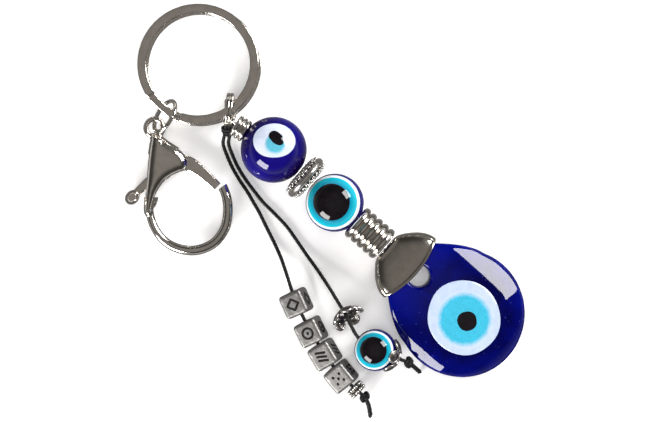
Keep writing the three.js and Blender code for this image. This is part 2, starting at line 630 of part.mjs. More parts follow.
function cordHitch() {
  const lump = ball(1, 16, 10).scale(...HITCH.size).translate(...hitchCentre);
  const channel = new THREE.TorusGeometry(CONNECTOR.radius, CONNECTOR.wire / 2 + GAP, 6, 30);
  const side = heading(CONNECTOR.bearing + 90);
  const outward = heading(CONNECTOR.bearing);
  const place = new THREE.Matrix4().makeBasis(outward, UP, side.clone().negate());
  const lanes = [-0.7, 0, 0.7].map((s) => channel.clone()
    .applyMatrix4(place.clone().setPosition(connectorCentre.clone().addScaledVector(side, s))));
  return cut(lump, ...lanes);
}
add('cord_hitch', cordHitch(), CORD_BLACK);

const middle = (cube) => new THREE.Vector3(...cube.at, (CUBE.side / 2)
  * (Math.cos(degrees(CUBE.roll)) + Math.sin(degrees(CUBE.roll))));

function cordLeft() {
  const cubes = CUBES.map((c) => middle(c).toArray());
  const route = [...CORD_LEFT, ...cubes, LEFT_SPACER.at, [9.25, -52.45, 2.3]];
  return tube(smooth(route), CORD.diameter, 36, CORD.sides);
}

const dropAt = new THREE.Vector3(...SMALL_RESIN.centre, SMALL_RESIN.diameter / 2);
const flowerLowerAt = dropAt.clone().addScaledVector(heading(FLOWER_LOWER.bearing), FLOWER_LOWER.reach);

function cordRight() {
  const drop = [...DROP_ROUTE, flowerLowerAt.toArray()];
  const route = [...CORD_RIGHT, FLOWER_UPPER.at, ...drop, [19.9, -43.7, 5.2]];
  return tube(smooth(route), CORD.diameter, 38, CORD.sides);
}
add('cord_left', cordLeft(), CORD_BLACK);
add('cord_right', cordRight(), CORD_BLACK);

// ---------------------------------------------------------------- pieces on the cords

CUBES.forEach((cube, k) => {
  const box = new RoundedBoxGeometry(CUBE.side, CUBE.side, CUBE.side, 1, CUBE.fillet);
  const shape = cut(box, rod(CUBE.bore, -CUBE.side, CUBE.side, 16));
  add(`cube_bead_${k + 1}`, shape, ANTIQUE, frameAlong(middle(cube), heading(cube.bearing), CUBE.roll));
});

function beadedSpacer() {
  const r = SPACER.diameter / 2;
  const h = SPACER.length / 2;
  const b = SPACER.bore / 2;
  return lathe([[b, -h], [r * 0.7, -h], [r, -h * 0.5], [r, h * 0.5], [r * 0.7, h], [b, h]], 20);
}
const spacerPlace = frameAlong(vector(LEFT_SPACER.at), heading(LEFT_SPACER.bearing));
add('beaded_spacer', beadedSpacer(), ANTIQUE, spacerPlace);

function flowerCap() {
  const { radius, depth, wall, bore: hole, petals, notch } = FLOWER;
  const outer = [[hole / 2, 0], [1.9, 0], [radius * 0.72, depth * 0.36], [radius, depth]];
  const inner = [[radius - wall, depth], [radius * 0.72 - wall * 0.6, depth * 0.36 + wall], [1.7, wall],
    [hole / 2, wall]];
  const g = lathe([...outer, ...inner], 30);
  const p = g.attributes.position;
  for (let i = 0; i < p.count; i += 1) {
    const [x, y] = [p.getX(i), p.getY(i)];
    const r = Math.hypot(x, y);
    const swell = THREE.MathUtils.smoothstep(r, 1.9, radius);
    const k = 1 - notch * swell * (1 - Math.abs(Math.cos((petals / 2) * Math.atan2(y, x))) ** 0.7);
    p.setXYZ(i, x * k, y * k, p.getZ(i) * k * k);
  }
  return g;
}

function knot({ at, bearing, tail }) {
  const lump = ball(1, 12, 8).scale(2.6, 2.6, 2.8).applyMatrix4(frameAlong(vector(at), heading(bearing)));
  return join(lump, tube(smooth([at, ...tail]), CORD.diameter, 5, CORD.sides));
}
const dropAxis = heading(SMALL_RESIN.bearing);
const upperFlowerPlace = frameAlong(vector(FLOWER_UPPER.at), heading(FLOWER_UPPER.bearing));
add('flower_cap_upper', flowerCap(), ANTIQUE, upperFlowerPlace);
eyeBead('drop_bead', SMALL_RESIN.diameter, bore(SMALL_RESIN.bore, dropAxis), SMALL_EYE, dropAt, COBALT,
  [WHITE, CYAN, BLACK]);
add('flower_cap_lower', flowerCap(), ANTIQUE,
  frameAlong(flowerLowerAt, heading(FLOWER_LOWER.bearing + 180), 20));
add('knot_left', knot(LEFT_KNOT), CORD_BLACK);
add('knot_right', knot(RIGHT_KNOT), CORD_BLACK);

export default group;
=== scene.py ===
"""Evil eye keychain ornament: the visual model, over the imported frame. Lengths below are in
millimetres in the row frame unless a name says otherwise."""
import math

import bmesh
import bpy
import numpy as np
from mathutils import Matrix, Vector
from mathutils.geometry import delaunay_2d_cdt


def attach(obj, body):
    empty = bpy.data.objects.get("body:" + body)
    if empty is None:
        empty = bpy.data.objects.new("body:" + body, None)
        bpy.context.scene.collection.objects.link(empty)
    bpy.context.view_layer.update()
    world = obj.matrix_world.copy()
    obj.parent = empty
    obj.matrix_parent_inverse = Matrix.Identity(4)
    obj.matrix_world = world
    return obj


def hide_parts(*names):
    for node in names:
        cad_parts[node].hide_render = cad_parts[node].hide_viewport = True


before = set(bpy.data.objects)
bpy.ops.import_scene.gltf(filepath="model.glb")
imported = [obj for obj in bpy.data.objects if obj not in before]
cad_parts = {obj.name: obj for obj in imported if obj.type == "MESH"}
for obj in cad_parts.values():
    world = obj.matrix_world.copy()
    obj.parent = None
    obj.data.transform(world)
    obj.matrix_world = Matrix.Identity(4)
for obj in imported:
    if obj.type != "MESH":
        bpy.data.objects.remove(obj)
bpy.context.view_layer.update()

MM = 0.001
UP = np.array([0.0, 0.0, 1.0])
rng = np.random.default_rng(7)
scene = bpy.context.scene

# ---------------------------------------------------------------- sizes, as in the CAD model

RING = dict(radius=16, band=2.3, coil=1.3, slit=0.15, sway=0.3, rise=3.07)
LINK = dict(radius=4.4, wire=1.1, tilt=62, bearing=61.2, on_ring=-124, reach=1.33)
CLASP = dict(mid=2.6, eye=2.25, eye_wire=1.4, shell=4.8, hook=2.5, pivot=(2.2, -11.3))
CONNECTOR = dict(radius=4.1, wire=0.7, pitch=0.8, rise=0.9, bearing=-92, on_ring=-56.5, reach=-0.58)
WIRE = dict(thickness=0.7, loop=1.45, angle=52, gap=0.36, side=0.12, drop=0.27, ball=1.8)
TOP_BEAD = dict(diameter=6, length=3.6, bearing=-33)
GLASS_SIZE, GLASS_AT = 17, (-13.2, 10.5)
RONDELLE = dict(diameter=12.6, length=4.2)
RESIN_SIZE = 15
COIL = dict(diameter=9.3, length=10.1, bore=7.0, ribs=5)
STRAND_BEARING = -40.9
CAP = dict(top=7.7, depth=4.4, slack=(0.71, 0.32), length=8, bow=2, wall=0.8, crown=1.2)
PENDANT = dict(radius=16.6, centre=26, neck=4.4, hole=5.4, hole_at=11, fall=4.3,
               crown=4.45, dome=29, high_point=4.4)
CUBE, CUBE_CAST, CUBE_ROLL = 6, 6.3, 18
DROP_SIZE, DROP_AT, DROP_BEARING = 10.9, (13.0, -41.1), -32
CORD = 0.95
CORD_LEFT = [
    (-26.0, 14.5, 2.4), (-26.4, 12.3, 1.2), (-25.3, 8.9, 0.6), (-23.8, 5.6, 0.5), (-21.9, 2.4, 0.5),
    (-20.1, -0.3, 0.5), (-18.6, -2.9, 0.5), (-17.0, -5.7, 0.5), (-15.0, -9.8, 0.5), (-13.0, -13.8, 0.6),
    (-11.4, -17.4, 1.2), (-9.9, -21.7, 2.4), (-8.5, -26.0, 3.5),
]
CORD_RIGHT = [
    (-24.6, 14.5, 2.4), (-25.0, 12.4, 1.2), (-24.0, 9.3, 0.6), (-22.6, 6.2, 0.5), (-20.7, 3.1, 0.5),
    (-18.8, 0.5, 0.5), (-16.1, -2.9, 0.5), (-12.5, -6.5, 0.5), (-9.9, -9.3, 0.5), (-6.5, -14.1, 0.6),
    (-4.2, -17.4, 1.0), (-1.8, -20.7, 1.8), (1.8, -26.2, 3.4), (4.0, -29.8, 4.3),
]
DROP_ROUTE = [(6.6, -34.6, 5.3), (8.6, -37.9, 5.45), (13.0, -41.0, 5.45), (17.7, -43.2, 5.45)]
CUBES = [((-7.4, -29.0), -66), ((-3.6, -36.4), -64), ((0.0, -42.3), -59), ((4.2, -47.9), -51)]
SPACER_AT, SPACER_BEARING = (8.1, -51.4, 2.7), -43
UPPER_FLOWER_AT, UPPER_FLOWER_BEARING = (5.4, -32.0, 4.9), -57
LOWER_FLOWER_REACH, LOWER_FLOWER_BEARING = 6.35, -20
LEFT_KNOT, LEFT_TAIL = (10.3, -53.4, 1.9), [(11.3, -55.6, 0.9), (11.8, -58.3, 0.55)]
RIGHT_KNOT, RIGHT_TAIL = (21.6, -44.3, 4.6), [(23.4, -45.9, 2.4), (24.5, -46.9, 0.8)]


# ---------------------------------------------------------------- vectors and frames

def vec(*p):
    return np.array(p, float)


def unit(v):
    return np.asarray(v, float) / np.linalg.norm(v)


def heading(bearing, pitch=0.0):
    b, p = math.radians(bearing), math.radians(pitch)
    return vec(math.cos(b) * math.cos(p), math.sin(b) * math.cos(p), math.sin(p))


def basis(x, y, z, origin):
    """A placement in metres whose local axes are x, y and z, at an origin in millimetres."""
    m = Matrix(np.column_stack([x, y, z]).tolist()).to_4x4()
    m.translation = Vector([float(v) * MM for v in origin])
    return m


def rotation(degrees, axis):
    return np.array(Matrix.Rotation(math.radians(degrees), 3, axis))


def frame_along(origin, direction, roll=0.0):
    """Local Z runs along the direction, with local X as level as it can be."""
    z = unit(direction)
    x = unit(np.cross(UP, z))
    y = np.cross(z, x)
    c, s = math.cos(math.radians(roll)), math.sin(math.radians(roll))
    return basis(c * x + s * y, c * y - s * x, z, origin)


def shifted(place, x, y=0.0):
    """A placement moved along its own X and Y, in millimetres."""
    return place @ Matrix.Translation(Vector((x * MM, y * MM, 0)))


AT_ORIGIN = Matrix.Identity(4)


def put(name, data, place=AT_ORIGIN):
    obj = bpy.data.objects.new(name, data)
    obj.matrix_world = place
    scene.collection.objects.link(obj)
    return obj


# ---------------------------------------------------------------- where the pieces sit, as in CAD

fall = math.atan2((GLASS_SIZE - RESIN_SIZE) / 2, 21)
strand_axis = heading(STRAND_BEARING, -math.degrees(fall))
strand_start = vec(*GLASS_AT, GLASS_SIZE / 2)
gap = 0.3


def on_strand(distance):
    return strand_start + strand_axis * distance


rondelle_at = GLASS_SIZE / 2 + gap + RONDELLE["length"] / 2
resin_at = rondelle_at + RONDELLE["length"] / 2 + gap + RESIN_SIZE / 2
coil_seat = math.sqrt((RESIN_SIZE / 2) ** 2 - (COIL["bore"] / 2 - 2 * gap) ** 2)
coil_at = resin_at + coil_seat + COIL["length"] / 2
cap_at = coil_at + COIL["length"] / 2 + 2 * gap
ball_at = cap_at + CAP["crown"] + 0.4 + WIRE["ball"] / 2

loop_angle = math.radians(WIRE["angle"])
connector_z = CONNECTOR["radius"] + CONNECTOR["rise"]
loop_z = connector_z + CONNECTOR["radius"] * math.sin(loop_angle)
top_seat = math.sqrt((GLASS_SIZE / 2) ** 2 - (TOP_BEAD["diameter"] / 2) ** 2) + gap
top_pitch = math.asin((strand_start[2] - loop_z - WIRE["drop"]) / (top_seat + TOP_BEAD["length"]))
top_axis = heading(TOP_BEAD["bearing"], math.degrees(top_pitch))
top_centre = strand_start - top_axis * (top_seat + TOP_BEAD["length"] / 2)
glass_axis = unit(strand_axis + top_axis)
loop_back = TOP_BEAD["length"] / 2 + WIRE["loop"] + WIRE["thickness"] / 2 + WIRE["gap"]
loop_centre = top_centre - top_axis * loop_back + heading(TOP_BEAD["bearing"] + 90) * WIRE["side"]
loop_centre[2] = loop_z
connector_out = heading(CONNECTOR["bearing"])
connector_side = heading(CONNECTOR["bearing"] + 90)
loop_normal = UP * math.cos(loop_angle) - connector_out * math.sin(loop_angle)
connector_centre = loop_centre - connector_out * CONNECTOR["radius"] * math.cos(loop_angle)
connector_centre[2] = connector_z
ring_middle = RING["radius"] - RING["band"] / 2 - RING["sway"]
ring_centre = connector_centre - heading(CONNECTOR["on_ring"]) * (ring_middle + CONNECTOR["reach"])
ring_centre[2] = RING["rise"] / 2
link_along = heading(LINK["bearing"])
link_up = heading(LINK["bearing"] - 90, LINK["tilt"])
link_height = LINK["radius"] * math.sin(math.radians(LINK["tilt"])) + LINK["wire"] / 2
link_centre = ring_centre + heading(LINK["on_ring"]) * (ring_middle + LINK["reach"])
link_centre[2] = link_height
eye_dip = (CLASP["mid"] - link_height) / (LINK["radius"] * math.sin(math.radians(LINK["tilt"])))
clasp_eye = link_centre - link_along * LINK["radius"] * math.sqrt(1 - eye_dip ** 2)
clasp_eye = clasp_eye + link_up * LINK["radius"] * eye_dip
clasp_eye[2] = CLASP["mid"]
clasp_place = basis(vec(1, 0, 0), vec(0, 1, 0), UP, clasp_eye)
pendant_axis = heading(STRAND_BEARING - 0.4, -PENDANT["fall"])
pendant_left = unit(np.cross(UP, pendant_axis))
pendant_up = np.cross(pendant_axis, pendant_left)
pendant_place = basis(pendant_axis, pendant_left, pendant_up, on_strand(cap_at))
drop_centre = vec(*DROP_AT, DROP_SIZE / 2)
lower_flower = drop_centre + heading(LOWER_FLOWER_BEARING) * LOWER_FLOWER_REACH
cube_height = CUBE / 2 * (math.cos(math.radians(CUBE_ROLL)) + math.sin(math.radians(CUBE_ROLL)))


# ---------------------------------------------------------------- camera

VIEW_WIDTH, VIEW_AT, DISTANCE = 166.45, (-0.645, -5.24), 900
camera_data = bpy.data.cameras.new("camera")
camera_data.sensor_width = 36
camera_data.lens = 36 * DISTANCE / VIEW_WIDTH
camera_data.clip_start = 0.01
scene.camera = put("camera", camera_data)
scene.camera.location = [v * MM for v in (*VIEW_AT, DISTANCE + 5)]


# ---------------------------------------------------------------- mesh helpers

def catmull(points, step, closed=False):
    """Points about a step apart on the centripetal curve through the given ones."""
    p = np.array(points, float)
    n = len(p)
    fine = []
    for i in range(n if closed else n - 1):
        p1, p2 = p[i], p[(i + 1) % n]
        p0 = p[i - 1] if closed or i > 0 else 2 * p[0] - p[1]
        p3 = p[(i + 2) % n] if closed or i + 2 < n else 2 * p[-1] - p[-2]
        d0, d1, d2 = (max(np.linalg.norm(b - a), 1e-6) ** 0.5 for a, b in ((p0, p1), (p1, p2), (p2, p3)))
        m1 = ((p1 - p0) / d0 - (p2 - p0) / (d0 + d1) + (p2 - p1) / d1) * d1
        m2 = ((p2 - p1) / d1 - (p3 - p1) / (d1 + d2) + (p3 - p2) / d2) * d1
        t = np.linspace(0, 1, 48, endpoint=False)[:, None]
        fine.append((2 * t ** 3 - 3 * t ** 2 + 1) * p1 + (t ** 3 - 2 * t ** 2 + t) * m1
                    + (3 * t ** 2 - 2 * t ** 3) * p2 + (t ** 3 - t ** 2) * m2)
    fine = np.vstack(fine + [p[:1] if closed else p[-1:]])
    run = np.concatenate([[0], np.cumsum(np.linalg.norm(np.diff(fine, axis=0), axis=1))])
    count = max(3, round(run[-1] / step) + 1)
    at = np.linspace(0, run[-1], count)
    even = np.column_stack([np.interp(at, run, fine[:, k]) for k in range(p.shape[1])])
    return even[:-1] if closed else even


def around(sides):
    return np.arange(sides) * 2 * math.pi / sides


def polar(angle, radius=1.0, height=0.0):
    """Points at angles, radii and heights; one value can stand for all points."""
    return np.stack(np.broadcast_arrays(radius * np.cos(angle), radius * np.sin(angle), height), axis=-1)


def circle(radius, sides):
    return polar(around(sides), radius)[:, :2]


def rounded_rectangle(w, h, r, steps=4):
    points = []
    x, y = w - r, h - r
    for cx, cy, start in ((x, y, 0), (-x, y, 90), (-x, -y, 180), (x, -y, 270)):
        for i in range(steps + 1):
            a = math.radians(start + 90 * i / steps)
            points.append((cx + r * math.cos(a), cy + r * math.sin(a)))
    return np.array(points)


def sweep(path, section, normals=None, closed=False):
    """Rings of points: a section, or one for each step, carried along a path without a twist."""
    path = np.asarray(path, float)
    section = np.asarray(section, float)
    if section.ndim == 2:
        section = np.repeat(section[None], len(path), axis=0)
    if closed:
        tangents = np.roll(path, -1, 0) - np.roll(path, 1, 0)
    else:
        tangents = np.gradient(path, axis=0)
    tangents /= np.linalg.norm(tangents, axis=1)[:, None]
    if normals is None:
        start = np.cross(tangents[0], UP)
        if np.linalg.norm(start) < 1e-3:
            start = vec(1, 0, 0)
        normals = [unit(start)]
        for t in tangents[1:]:
            n = normals[-1] - t * np.dot(normals[-1], t)
            normals.append(unit(n))
        normals = np.array(normals)
    others = np.cross(tangents, normals)
    return (path[:, None] + section[:, :, :1] * normals[:, None] + section[:, :, 1:] * others[:, None])


def skin(rings, closed=False, caps=True):
    """Vertices and faces of the surface through rings of points."""
    rings = np.asarray(rings, float)
    n, m = rings.shape[:2]
    index = np.arange(n * m).reshape(n, m)
    a = index if closed else index[:-1]
    b = np.roll(index, -1, 0) if closed else index[1:]
    quads = np.stack([a, np.roll(a, -1, 1), np.roll(b, -1, 1), b], axis=-1).reshape(-1, 4).tolist()
    if caps and not closed:
        quads += [index[0][::-1].tolist(), index[-1].tolist()]
    return rings.reshape(-1, 3), quads


def lathe(profile, segments=64):
    """A closed profile of (radius, height) points turned round local Z."""
    return skin(np.stack([polar(around(segments), r, z) for r, z in profile]), closed=True)


def tube(path, radius, sides=12, closed=False):
    """A round tube; its open ends are rounded off."""
    path = np.asarray(path, float)
    section = np.repeat(circle(radius, sides)[None], len(path), axis=0)
    if not closed:
        head = path[0] - path[1]
        tail = path[-1] - path[-2]
        extra = [(0.5, 0.86), (0.85, 0.5), (0.98, 0.16)]
        before = [path[0] + unit(head) * radius * 0.6 * s for s, _ in reversed(extra)]
        after = [path[-1] + unit(tail) * radius * 0.6 * s for s, _ in extra]
        shrink = np.array([k for _, k in extra])[:, None, None] * section[:1]
        section = np.concatenate([shrink[::-1], section, shrink])
        path = np.vstack([before, path, after])
    return skin(sweep(path, section, closed=closed), closed=closed)


def torus(radius, wire, steps=72, sides=14):
    a = around(steps)
    return skin(sweep(polar(a, radius), circle(wire / 2, sides), polar(a), closed=True), closed=True)


def grain(centre, radius, squash=1.0, sides=10):
    """A small ball, for granules and bubbles."""
    levels = np.linspace(0, math.pi, 7)[1:-1]
    points, faces = skin(np.stack([polar(around(sides), np.sin(t), squash * np.cos(t)) for t in levels]))
    return points * radius + np.asarray(centre, float), faces


def moved(part, matrix=None, shift=(0, 0, 0)):
    points, faces = part
    points = np.asarray(points, float)
    if matrix is not None:
        points = points @ np.asarray(matrix, float).T
    return points + np.asarray(shift, float), faces


def turned(part, degrees):
    """A part turned round local Z."""
    return moved(part, rotation(degrees, "Z"))


def ball(radius, at=(0, 0, 0), sides=16):
    return moved(grain((0, 0, 0), radius, 1, sides), shift=at)


def smooth_shade(obj, sharp=38):
    obj.data.shade_smooth()
    obj.data.set_sharp_from_angle(angle=math.radians(sharp))
    return obj


def make(name, parts, materials, place=AT_ORIGIN, sharp=38):
    """One object of closed parts: (vertices, faces) for the first material, or with its index."""
    points, faces, slots = [], [], []
    for p, f, *slot in parts:
        base = sum(len(q) for q in points)
        points.append(np.asarray(p, float) * MM)
        faces += [[base + i for i in face] for face in f]
        slots += (slot or [0]) * len(f)
    data = bpy.data.meshes.new(name)
    data.from_pydata(np.vstack(points).tolist(), [], faces)
    for m in materials:
        data.materials.append(m)
    data.polygons.foreach_set("material_index", slots)
    bm = bmesh.new()
    bm.from_mesh(data)
    bmesh.ops.recalc_face_normals(bm, faces=bm.faces)
    bm.to_mesh(data)
    bm.free()
    return smooth_shade(put(name, data, place), sharp)


def settle(obj, *modifiers):
    """Adds modifiers and applies them to the mesh."""
    for kind, values in modifiers:
        m = obj.modifiers.new(kind.lower(), kind)
        for key, value in values.items():
            setattr(m, key, value)
    graph = bpy.context.evaluated_depsgraph_get()
    data = bpy.data.meshes.new_from_object(obj.evaluated_get(graph))
    old = obj.data
    obj.modifiers.clear()
    obj.data = data
    data.name = old.name
    bpy.data.meshes.remove(old)
    return obj


def carve(obj, part):
    """Cuts a closed part out of an object."""
    tool = make("tool", [part], [obj.data.materials[0]])
    settle(obj, ("BOOLEAN", dict(operation="DIFFERENCE", object=tool, solver="EXACT")))
    bpy.data.objects.remove(tool)


def edge_distance(points, outline):
    """Distance of each point from a closed outline."""
    a, b = outline, np.roll(outline, -1, 0)
    d = b - a
    best = np.full(len(points), 1e9)
    for start, run in zip(a, d):
        t = np.clip(((points - start) @ run) / max(run @ run, 1e-12), 0, 1)
        best = np.minimum(best, np.linalg.norm(points - start - t[:, None] * run, axis=1))
    return best


def inside(points, outline):
    x, y = points[:, 0], points[:, 1]
    odd = np.zeros(len(points), bool)
    for (x1, y1), (x2, y2) in zip(outline, np.roll(outline, -1, 0)):
        crosses = (y1 > y) != (y2 > y)
        odd ^= crosses & (x < (x2 - x1) * (y - y1) / (y2 - y1 if y2 != y1 else 1e-12) + x1)
    return odd


FAR = 99.0


def pillow(outline, height, spacing, holes=()):
    """A closed lump over a flat outline. height(points, edge distance, hole distance) gives the
    heights of its top and bottom, which meet on the outline and on the holes' edges."""
    outline = np.asarray(outline, float)
    loops = [outline] + [np.asarray(h, float) for h in holes]
    edge = np.vstack(loops)
    low, high = outline.min(0), outline.max(0)
    xs = np.arange(low[0], high[0], spacing)
    ys = np.arange(low[1], high[1], spacing)
    grid = np.array([(x + (j % 2) * spacing / 2, y) for j, y in enumerate(ys) for x in xs])
    bands = []
    for loop in loops:
        run = np.roll(loop, -1, 0) - np.roll(loop, 1, 0)
        normal = np.column_stack([-run[:, 1], run[:, 0]]) / np.linalg.norm(run, axis=1)[:, None]
        for depth in (0.06, 0.18, 0.36, 0.6, 0.9):
            for side in (1, -1):
                shifted = loop + side * depth * normal
                bands.append(shifted[np.abs(edge_distance(shifted, loop) - depth) < 0.02])
    bands = np.vstack(bands)
    grid = grid[np.min([edge_distance(grid, loop) for loop in loops], axis=0) > 1.1]
    inner = np.vstack([bands, grid])
    keep = inside(inner, outline)
    for loop in loops[1:]:
        keep &= ~inside(inner, loop)
    inner = inner[keep]
    points = np.vstack([edge, inner])
    borders, base = [], 0
    for loop in loops:
        borders += [(base + i, base + (i + 1) % len(loop)) for i in range(len(loop))]
        base += len(loop)
    found = delaunay_2d_cdt([Vector(p) for p in points.tolist()], borders, [], 0, 1e-6)
    flat = np.array([tuple(v) for v in found[0]])
    source = found[3]
    on_edge = np.array([any(k < len(edge) for k in s) for s in source])
    faces = np.array([f for f in found[2] if len(f) == 3])
    middle = flat[faces].mean(1)
    good = inside(middle, outline)
    for loop in loops[1:]:
        good &= ~inside(middle, loop)
    faces = faces[good]
    d = edge_distance(flat, outline)
    dh = np.full(len(flat), FAR)
    for loop in loops[1:]:
        dh = np.minimum(dh, edge_distance(flat, loop))
    top, bottom = height(flat, np.where(on_edge, 0, d), np.where(on_edge & (dh < 1e-3), 0, dh))
    under = np.arange(len(flat))
    under[~on_edge] = len(flat) + np.arange((~on_edge).sum())
    top = np.where(on_edge, (top + bottom) / 2, top)
    upper = np.column_stack([flat, top])
    lower = np.column_stack([flat, bottom])[~on_edge]
    return np.vstack([upper, lower]), faces.tolist() + under[faces][:, ::-1].tolist()


def bulge(d, width, power=0.5):
    """From 0 on an edge to 1 at a width from it, on a rounded curve."""
    t = np.clip(d / width, 0, 1)
    return np.clip(1 - (1 - t) ** 2, 0, 1) ** power


def smoothstep(x, a, b):
    t = np.clip((np.asarray(x, float) - a) / (b - a), 0, 1)
    return t * t * (3 - 2 * t)


# ---------------------------------------------------------------- materials

class Shader:
    """A Principled material with procedural detail, in object coordinates."""

    def __init__(self, name, **inputs):
        self.material = bpy.data.materials.new(name)
        self.material.use_nodes = True
        self.tree = self.material.node_tree
        self.surface = self.tree.nodes["Principled BSDF"]
        self.place = self.node("ShaderNodeTexCoord").outputs["Object"]
        self.normal = None
        for key, value in inputs.items():
            self.set(key.replace("_", " "), value)

    def node(self, kind, inputs=(), **properties):
        n = self.tree.nodes.new(kind)
        for key, value in properties.items():
            setattr(n, key, value)
        for key, value in dict(inputs).items():
            if isinstance(value, bpy.types.NodeSocket):
                self.tree.links.new(value, n.inputs[key])
            else:
                n.inputs[key].default_value = value
        return n

    def set(self, key, value):
        names = {"Specular": "Specular IOR Level", "Transmission": "Transmission Weight",
                 "Sheen": "Sheen Weight"}
        socket = self.surface.inputs[names.get(key, key)]
        if isinstance(value, bpy.types.NodeSocket):
            self.tree.links.new(value, socket)
        else:
            socket.default_value = (*value, 1) if key.endswith("Color") and len(value) == 3 else value

    def noise(self, size, detail=3, stretch=(1, 1, 1), distortion=0.0, offset=0.0):
        """Noise whose features are about this many millimetres across."""
        place = self.node("ShaderNodeMapping", {
            "Vector": self.place, "Scale": [1 / (size * MM * s) for s in stretch],
            "Location": (offset, offset, offset)}).outputs[0]
        return self.node("ShaderNodeTexNoise", {
            "Vector": place, "Scale": 1.0, "Detail": detail, "Distortion": distortion}).outputs["Fac"]

    def ramp(self, value, stops):
        n = self.node("ShaderNodeValToRGB", {"Fac": value})
        ramp = n.color_ramp
        while len(ramp.elements) < len(stops):
            ramp.elements.new(0.5)
        for element, (at, colour) in zip(ramp.elements, stops):
            element.position = at
            element.color = (*colour, 1) if np.ndim(colour) else (colour, colour, colour, 1)
        return n.outputs["Color"]

    def math(self, operation, a, b):
        return self.node("ShaderNodeMath", {0: a, 1: b}, operation=operation).outputs[0]

    def uneven(self, noise, depth, middle):
        """A value that varies by this much about a middle one."""
        return self.math("ADD", self.math("MULTIPLY", noise, depth), middle - depth / 2)

    def mix(self, share, a, b):
        n = self.node("ShaderNodeMix", {"Factor": share}, data_type="RGBA")
        for socket, value in ((n.inputs[6], a), (n.inputs[7], b)):
            if isinstance(value, bpy.types.NodeSocket):
                self.tree.links.new(value, socket)
            else:
                socket.default_value = (*value, 1)
        return n.outputs[2]

    def bump(self, height, depth):
        """A relief this many millimetres deep."""
        inputs = {"Height": height, "Distance": depth * MM, "Strength": 1.0}
        if self.normal is not None:
            inputs["Normal"] = self.normal
        self.normal = self.node("ShaderNodeBump", inputs).outputs[0]
        self.tree.links.new(self.normal, self.surface.inputs["Normal"])

    def radius(self, centre=(0, 0)):
        """Distance in millimetres from an upright local axis through a point."""
        n = self.node("ShaderNodeMapping", {
            "Vector": self.place, "Location": (-centre[0], -centre[1], 0), "Scale": (1000, 1000, 0)})
        return self.node("ShaderNodeVectorMath", {0: n.outputs[0]}, operation="LENGTH").outputs["Value"]


def plated(name, colour, rough, smudge=0.1):
    """Plated metal: fine scratches, smudges and a slightly uneven tone."""
    s = Shader(name, Metallic=1.0, IOR=1.9)
    tone = s.ramp(s.noise(2.2, 4), [(0.3, [c * 0.86 for c in colour]), (0.7, colour)])
    s.set("Base Color", tone)
    s.set("Roughness", s.uneven(s.noise(3.0, 5, offset=4), smudge, rough))
    s.bump(s.noise(0.09, 2, (1, 9, 1)), 0.008)
    s.bump(s.noise(1.4, 1, offset=9), 0.02)
    return s.material


nickel = plated("polished_nickel", (0.93, 0.89, 0.84), 0.11)
wire_nickel = plated("wire_nickel", (0.80, 0.77, 0.73), 0.18)
gunmetal = plated("dark_gunmetal", (0.66, 0.62, 0.57), 0.17, smudge=0.12)


def antique(name, light, dark, rough, depth=0.02):
    """Antique silver: a cast grain, bright where it is rubbed and blackened in its recesses."""
    s = Shader(name, Metallic=0.92)
    edge = s.node("ShaderNodeNewGeometry").outputs["Pointiness"]
    worn = s.ramp(edge, [(0.40, 0.0), (0.50, 0.75), (0.58, 1.0)])
    speck = s.ramp(s.noise(0.22, 4), [(0.36, 0.0), (0.58, 1.0)])
    tone = s.mix(speck, [c * 0.72 for c in light], light)
    s.set("Base Color", s.mix(worn, dark, tone))
    s.set("Roughness", s.uneven(s.noise(0.5, 3), 0.22, rough + 0.01))
    s.bump(s.noise(0.16, 3), depth)
    s.bump(s.noise(0.9, 2, offset=3), depth * 1.6)
    return s.material


silver = antique("antique_silver", (0.36, 0.355, 0.345), (0.04, 0.036, 0.036), 0.42, depth=0.05)
dark_silver = antique("oxidised_silver", (0.20, 0.19, 0.18), (0.02, 0.018, 0.018), 0.3)
bright_silver = antique("rubbed_silver", (0.66, 0.64, 0.61), (0.06, 0.055, 0.05), 0.22)


def oxide():
    """The black that is left in engraved and cast recesses."""
    s = Shader("black_oxide", Metallic=0.0, Roughness=0.62, Specular=0.2)
    s.set("Base Color", s.ramp(s.noise(0.3, 3), [(0.3, 0.004), (0.75, (0.018, 0.016, 0.015))]))
    s.bump(s.noise(0.2, 3), 0.03)
    return s.material


black_oxide = oxide()


def cobalt(name, deep, thin, clear, centre=(0, 0), reach=9.0, waves=0.010):
    """Deep blue glass: navy in its body, with painted light that makes it bluer towards its edge, where light
    shows through the thinner glass; with faint waves and patches.
    """
    s = Shader(name, IOR=1.5, Transmission=clear, Specular=0.3)
    patches = s.uneven(s.noise(5.5, 3, distortion=0.6), 0.7, 0)
    # Painted light: the colour goes from deep to thin as the distance from the centre grows, standing in for light
    # through the thinner glass at the rim; the patches vary it at random.
    depth = s.math("ADD", s.math("DIVIDE", s.radius(centre), reach), patches)
    s.set("Base Color", s.ramp(depth, [(0.45, deep), (1.0, thin)]))
    s.set("Roughness", s.uneven(s.noise(1.8, 3), 0.03, 0.03))
    s.bump(s.noise(3.2, 2, offset=2), waves)
    return s.material


# The second colour of each is painted light, the glow of the rim.
pendant_blue_glass = cobalt("cobalt_glass", (0.0004, 0.0006, 0.056), (0.001, 0.004, 0.21), 0.3,
                            centre=(27, 0), reach=19)
bead_blue_glass = cobalt("bead_cobalt_glass", (0.005, 0.0006, 0.050), (0.008, 0.004, 0.20), 0.3)
resin_blue = cobalt("cobalt_resin", (0.006, 0.006, 0.10), (0.010, 0.012, 0.16), 0.0, waves=0.0)


def enamel(name, one, other, rough=0.07, size=1.6):
    """Opaque glass or resin, mottled between two tones."""
    s = Shader(name, IOR=1.5, Specular=0.35)
    s.set("Base Color", s.ramp(s.noise(size, 5, distortion=0.8), [(0.25, one), (0.75, other)]))
    s.set("Roughness", s.uneven(s.noise(0.9, 3), 0.05, rough))
    s.bump(s.noise(2.6, 2, offset=5), 0.02)
    return s.material


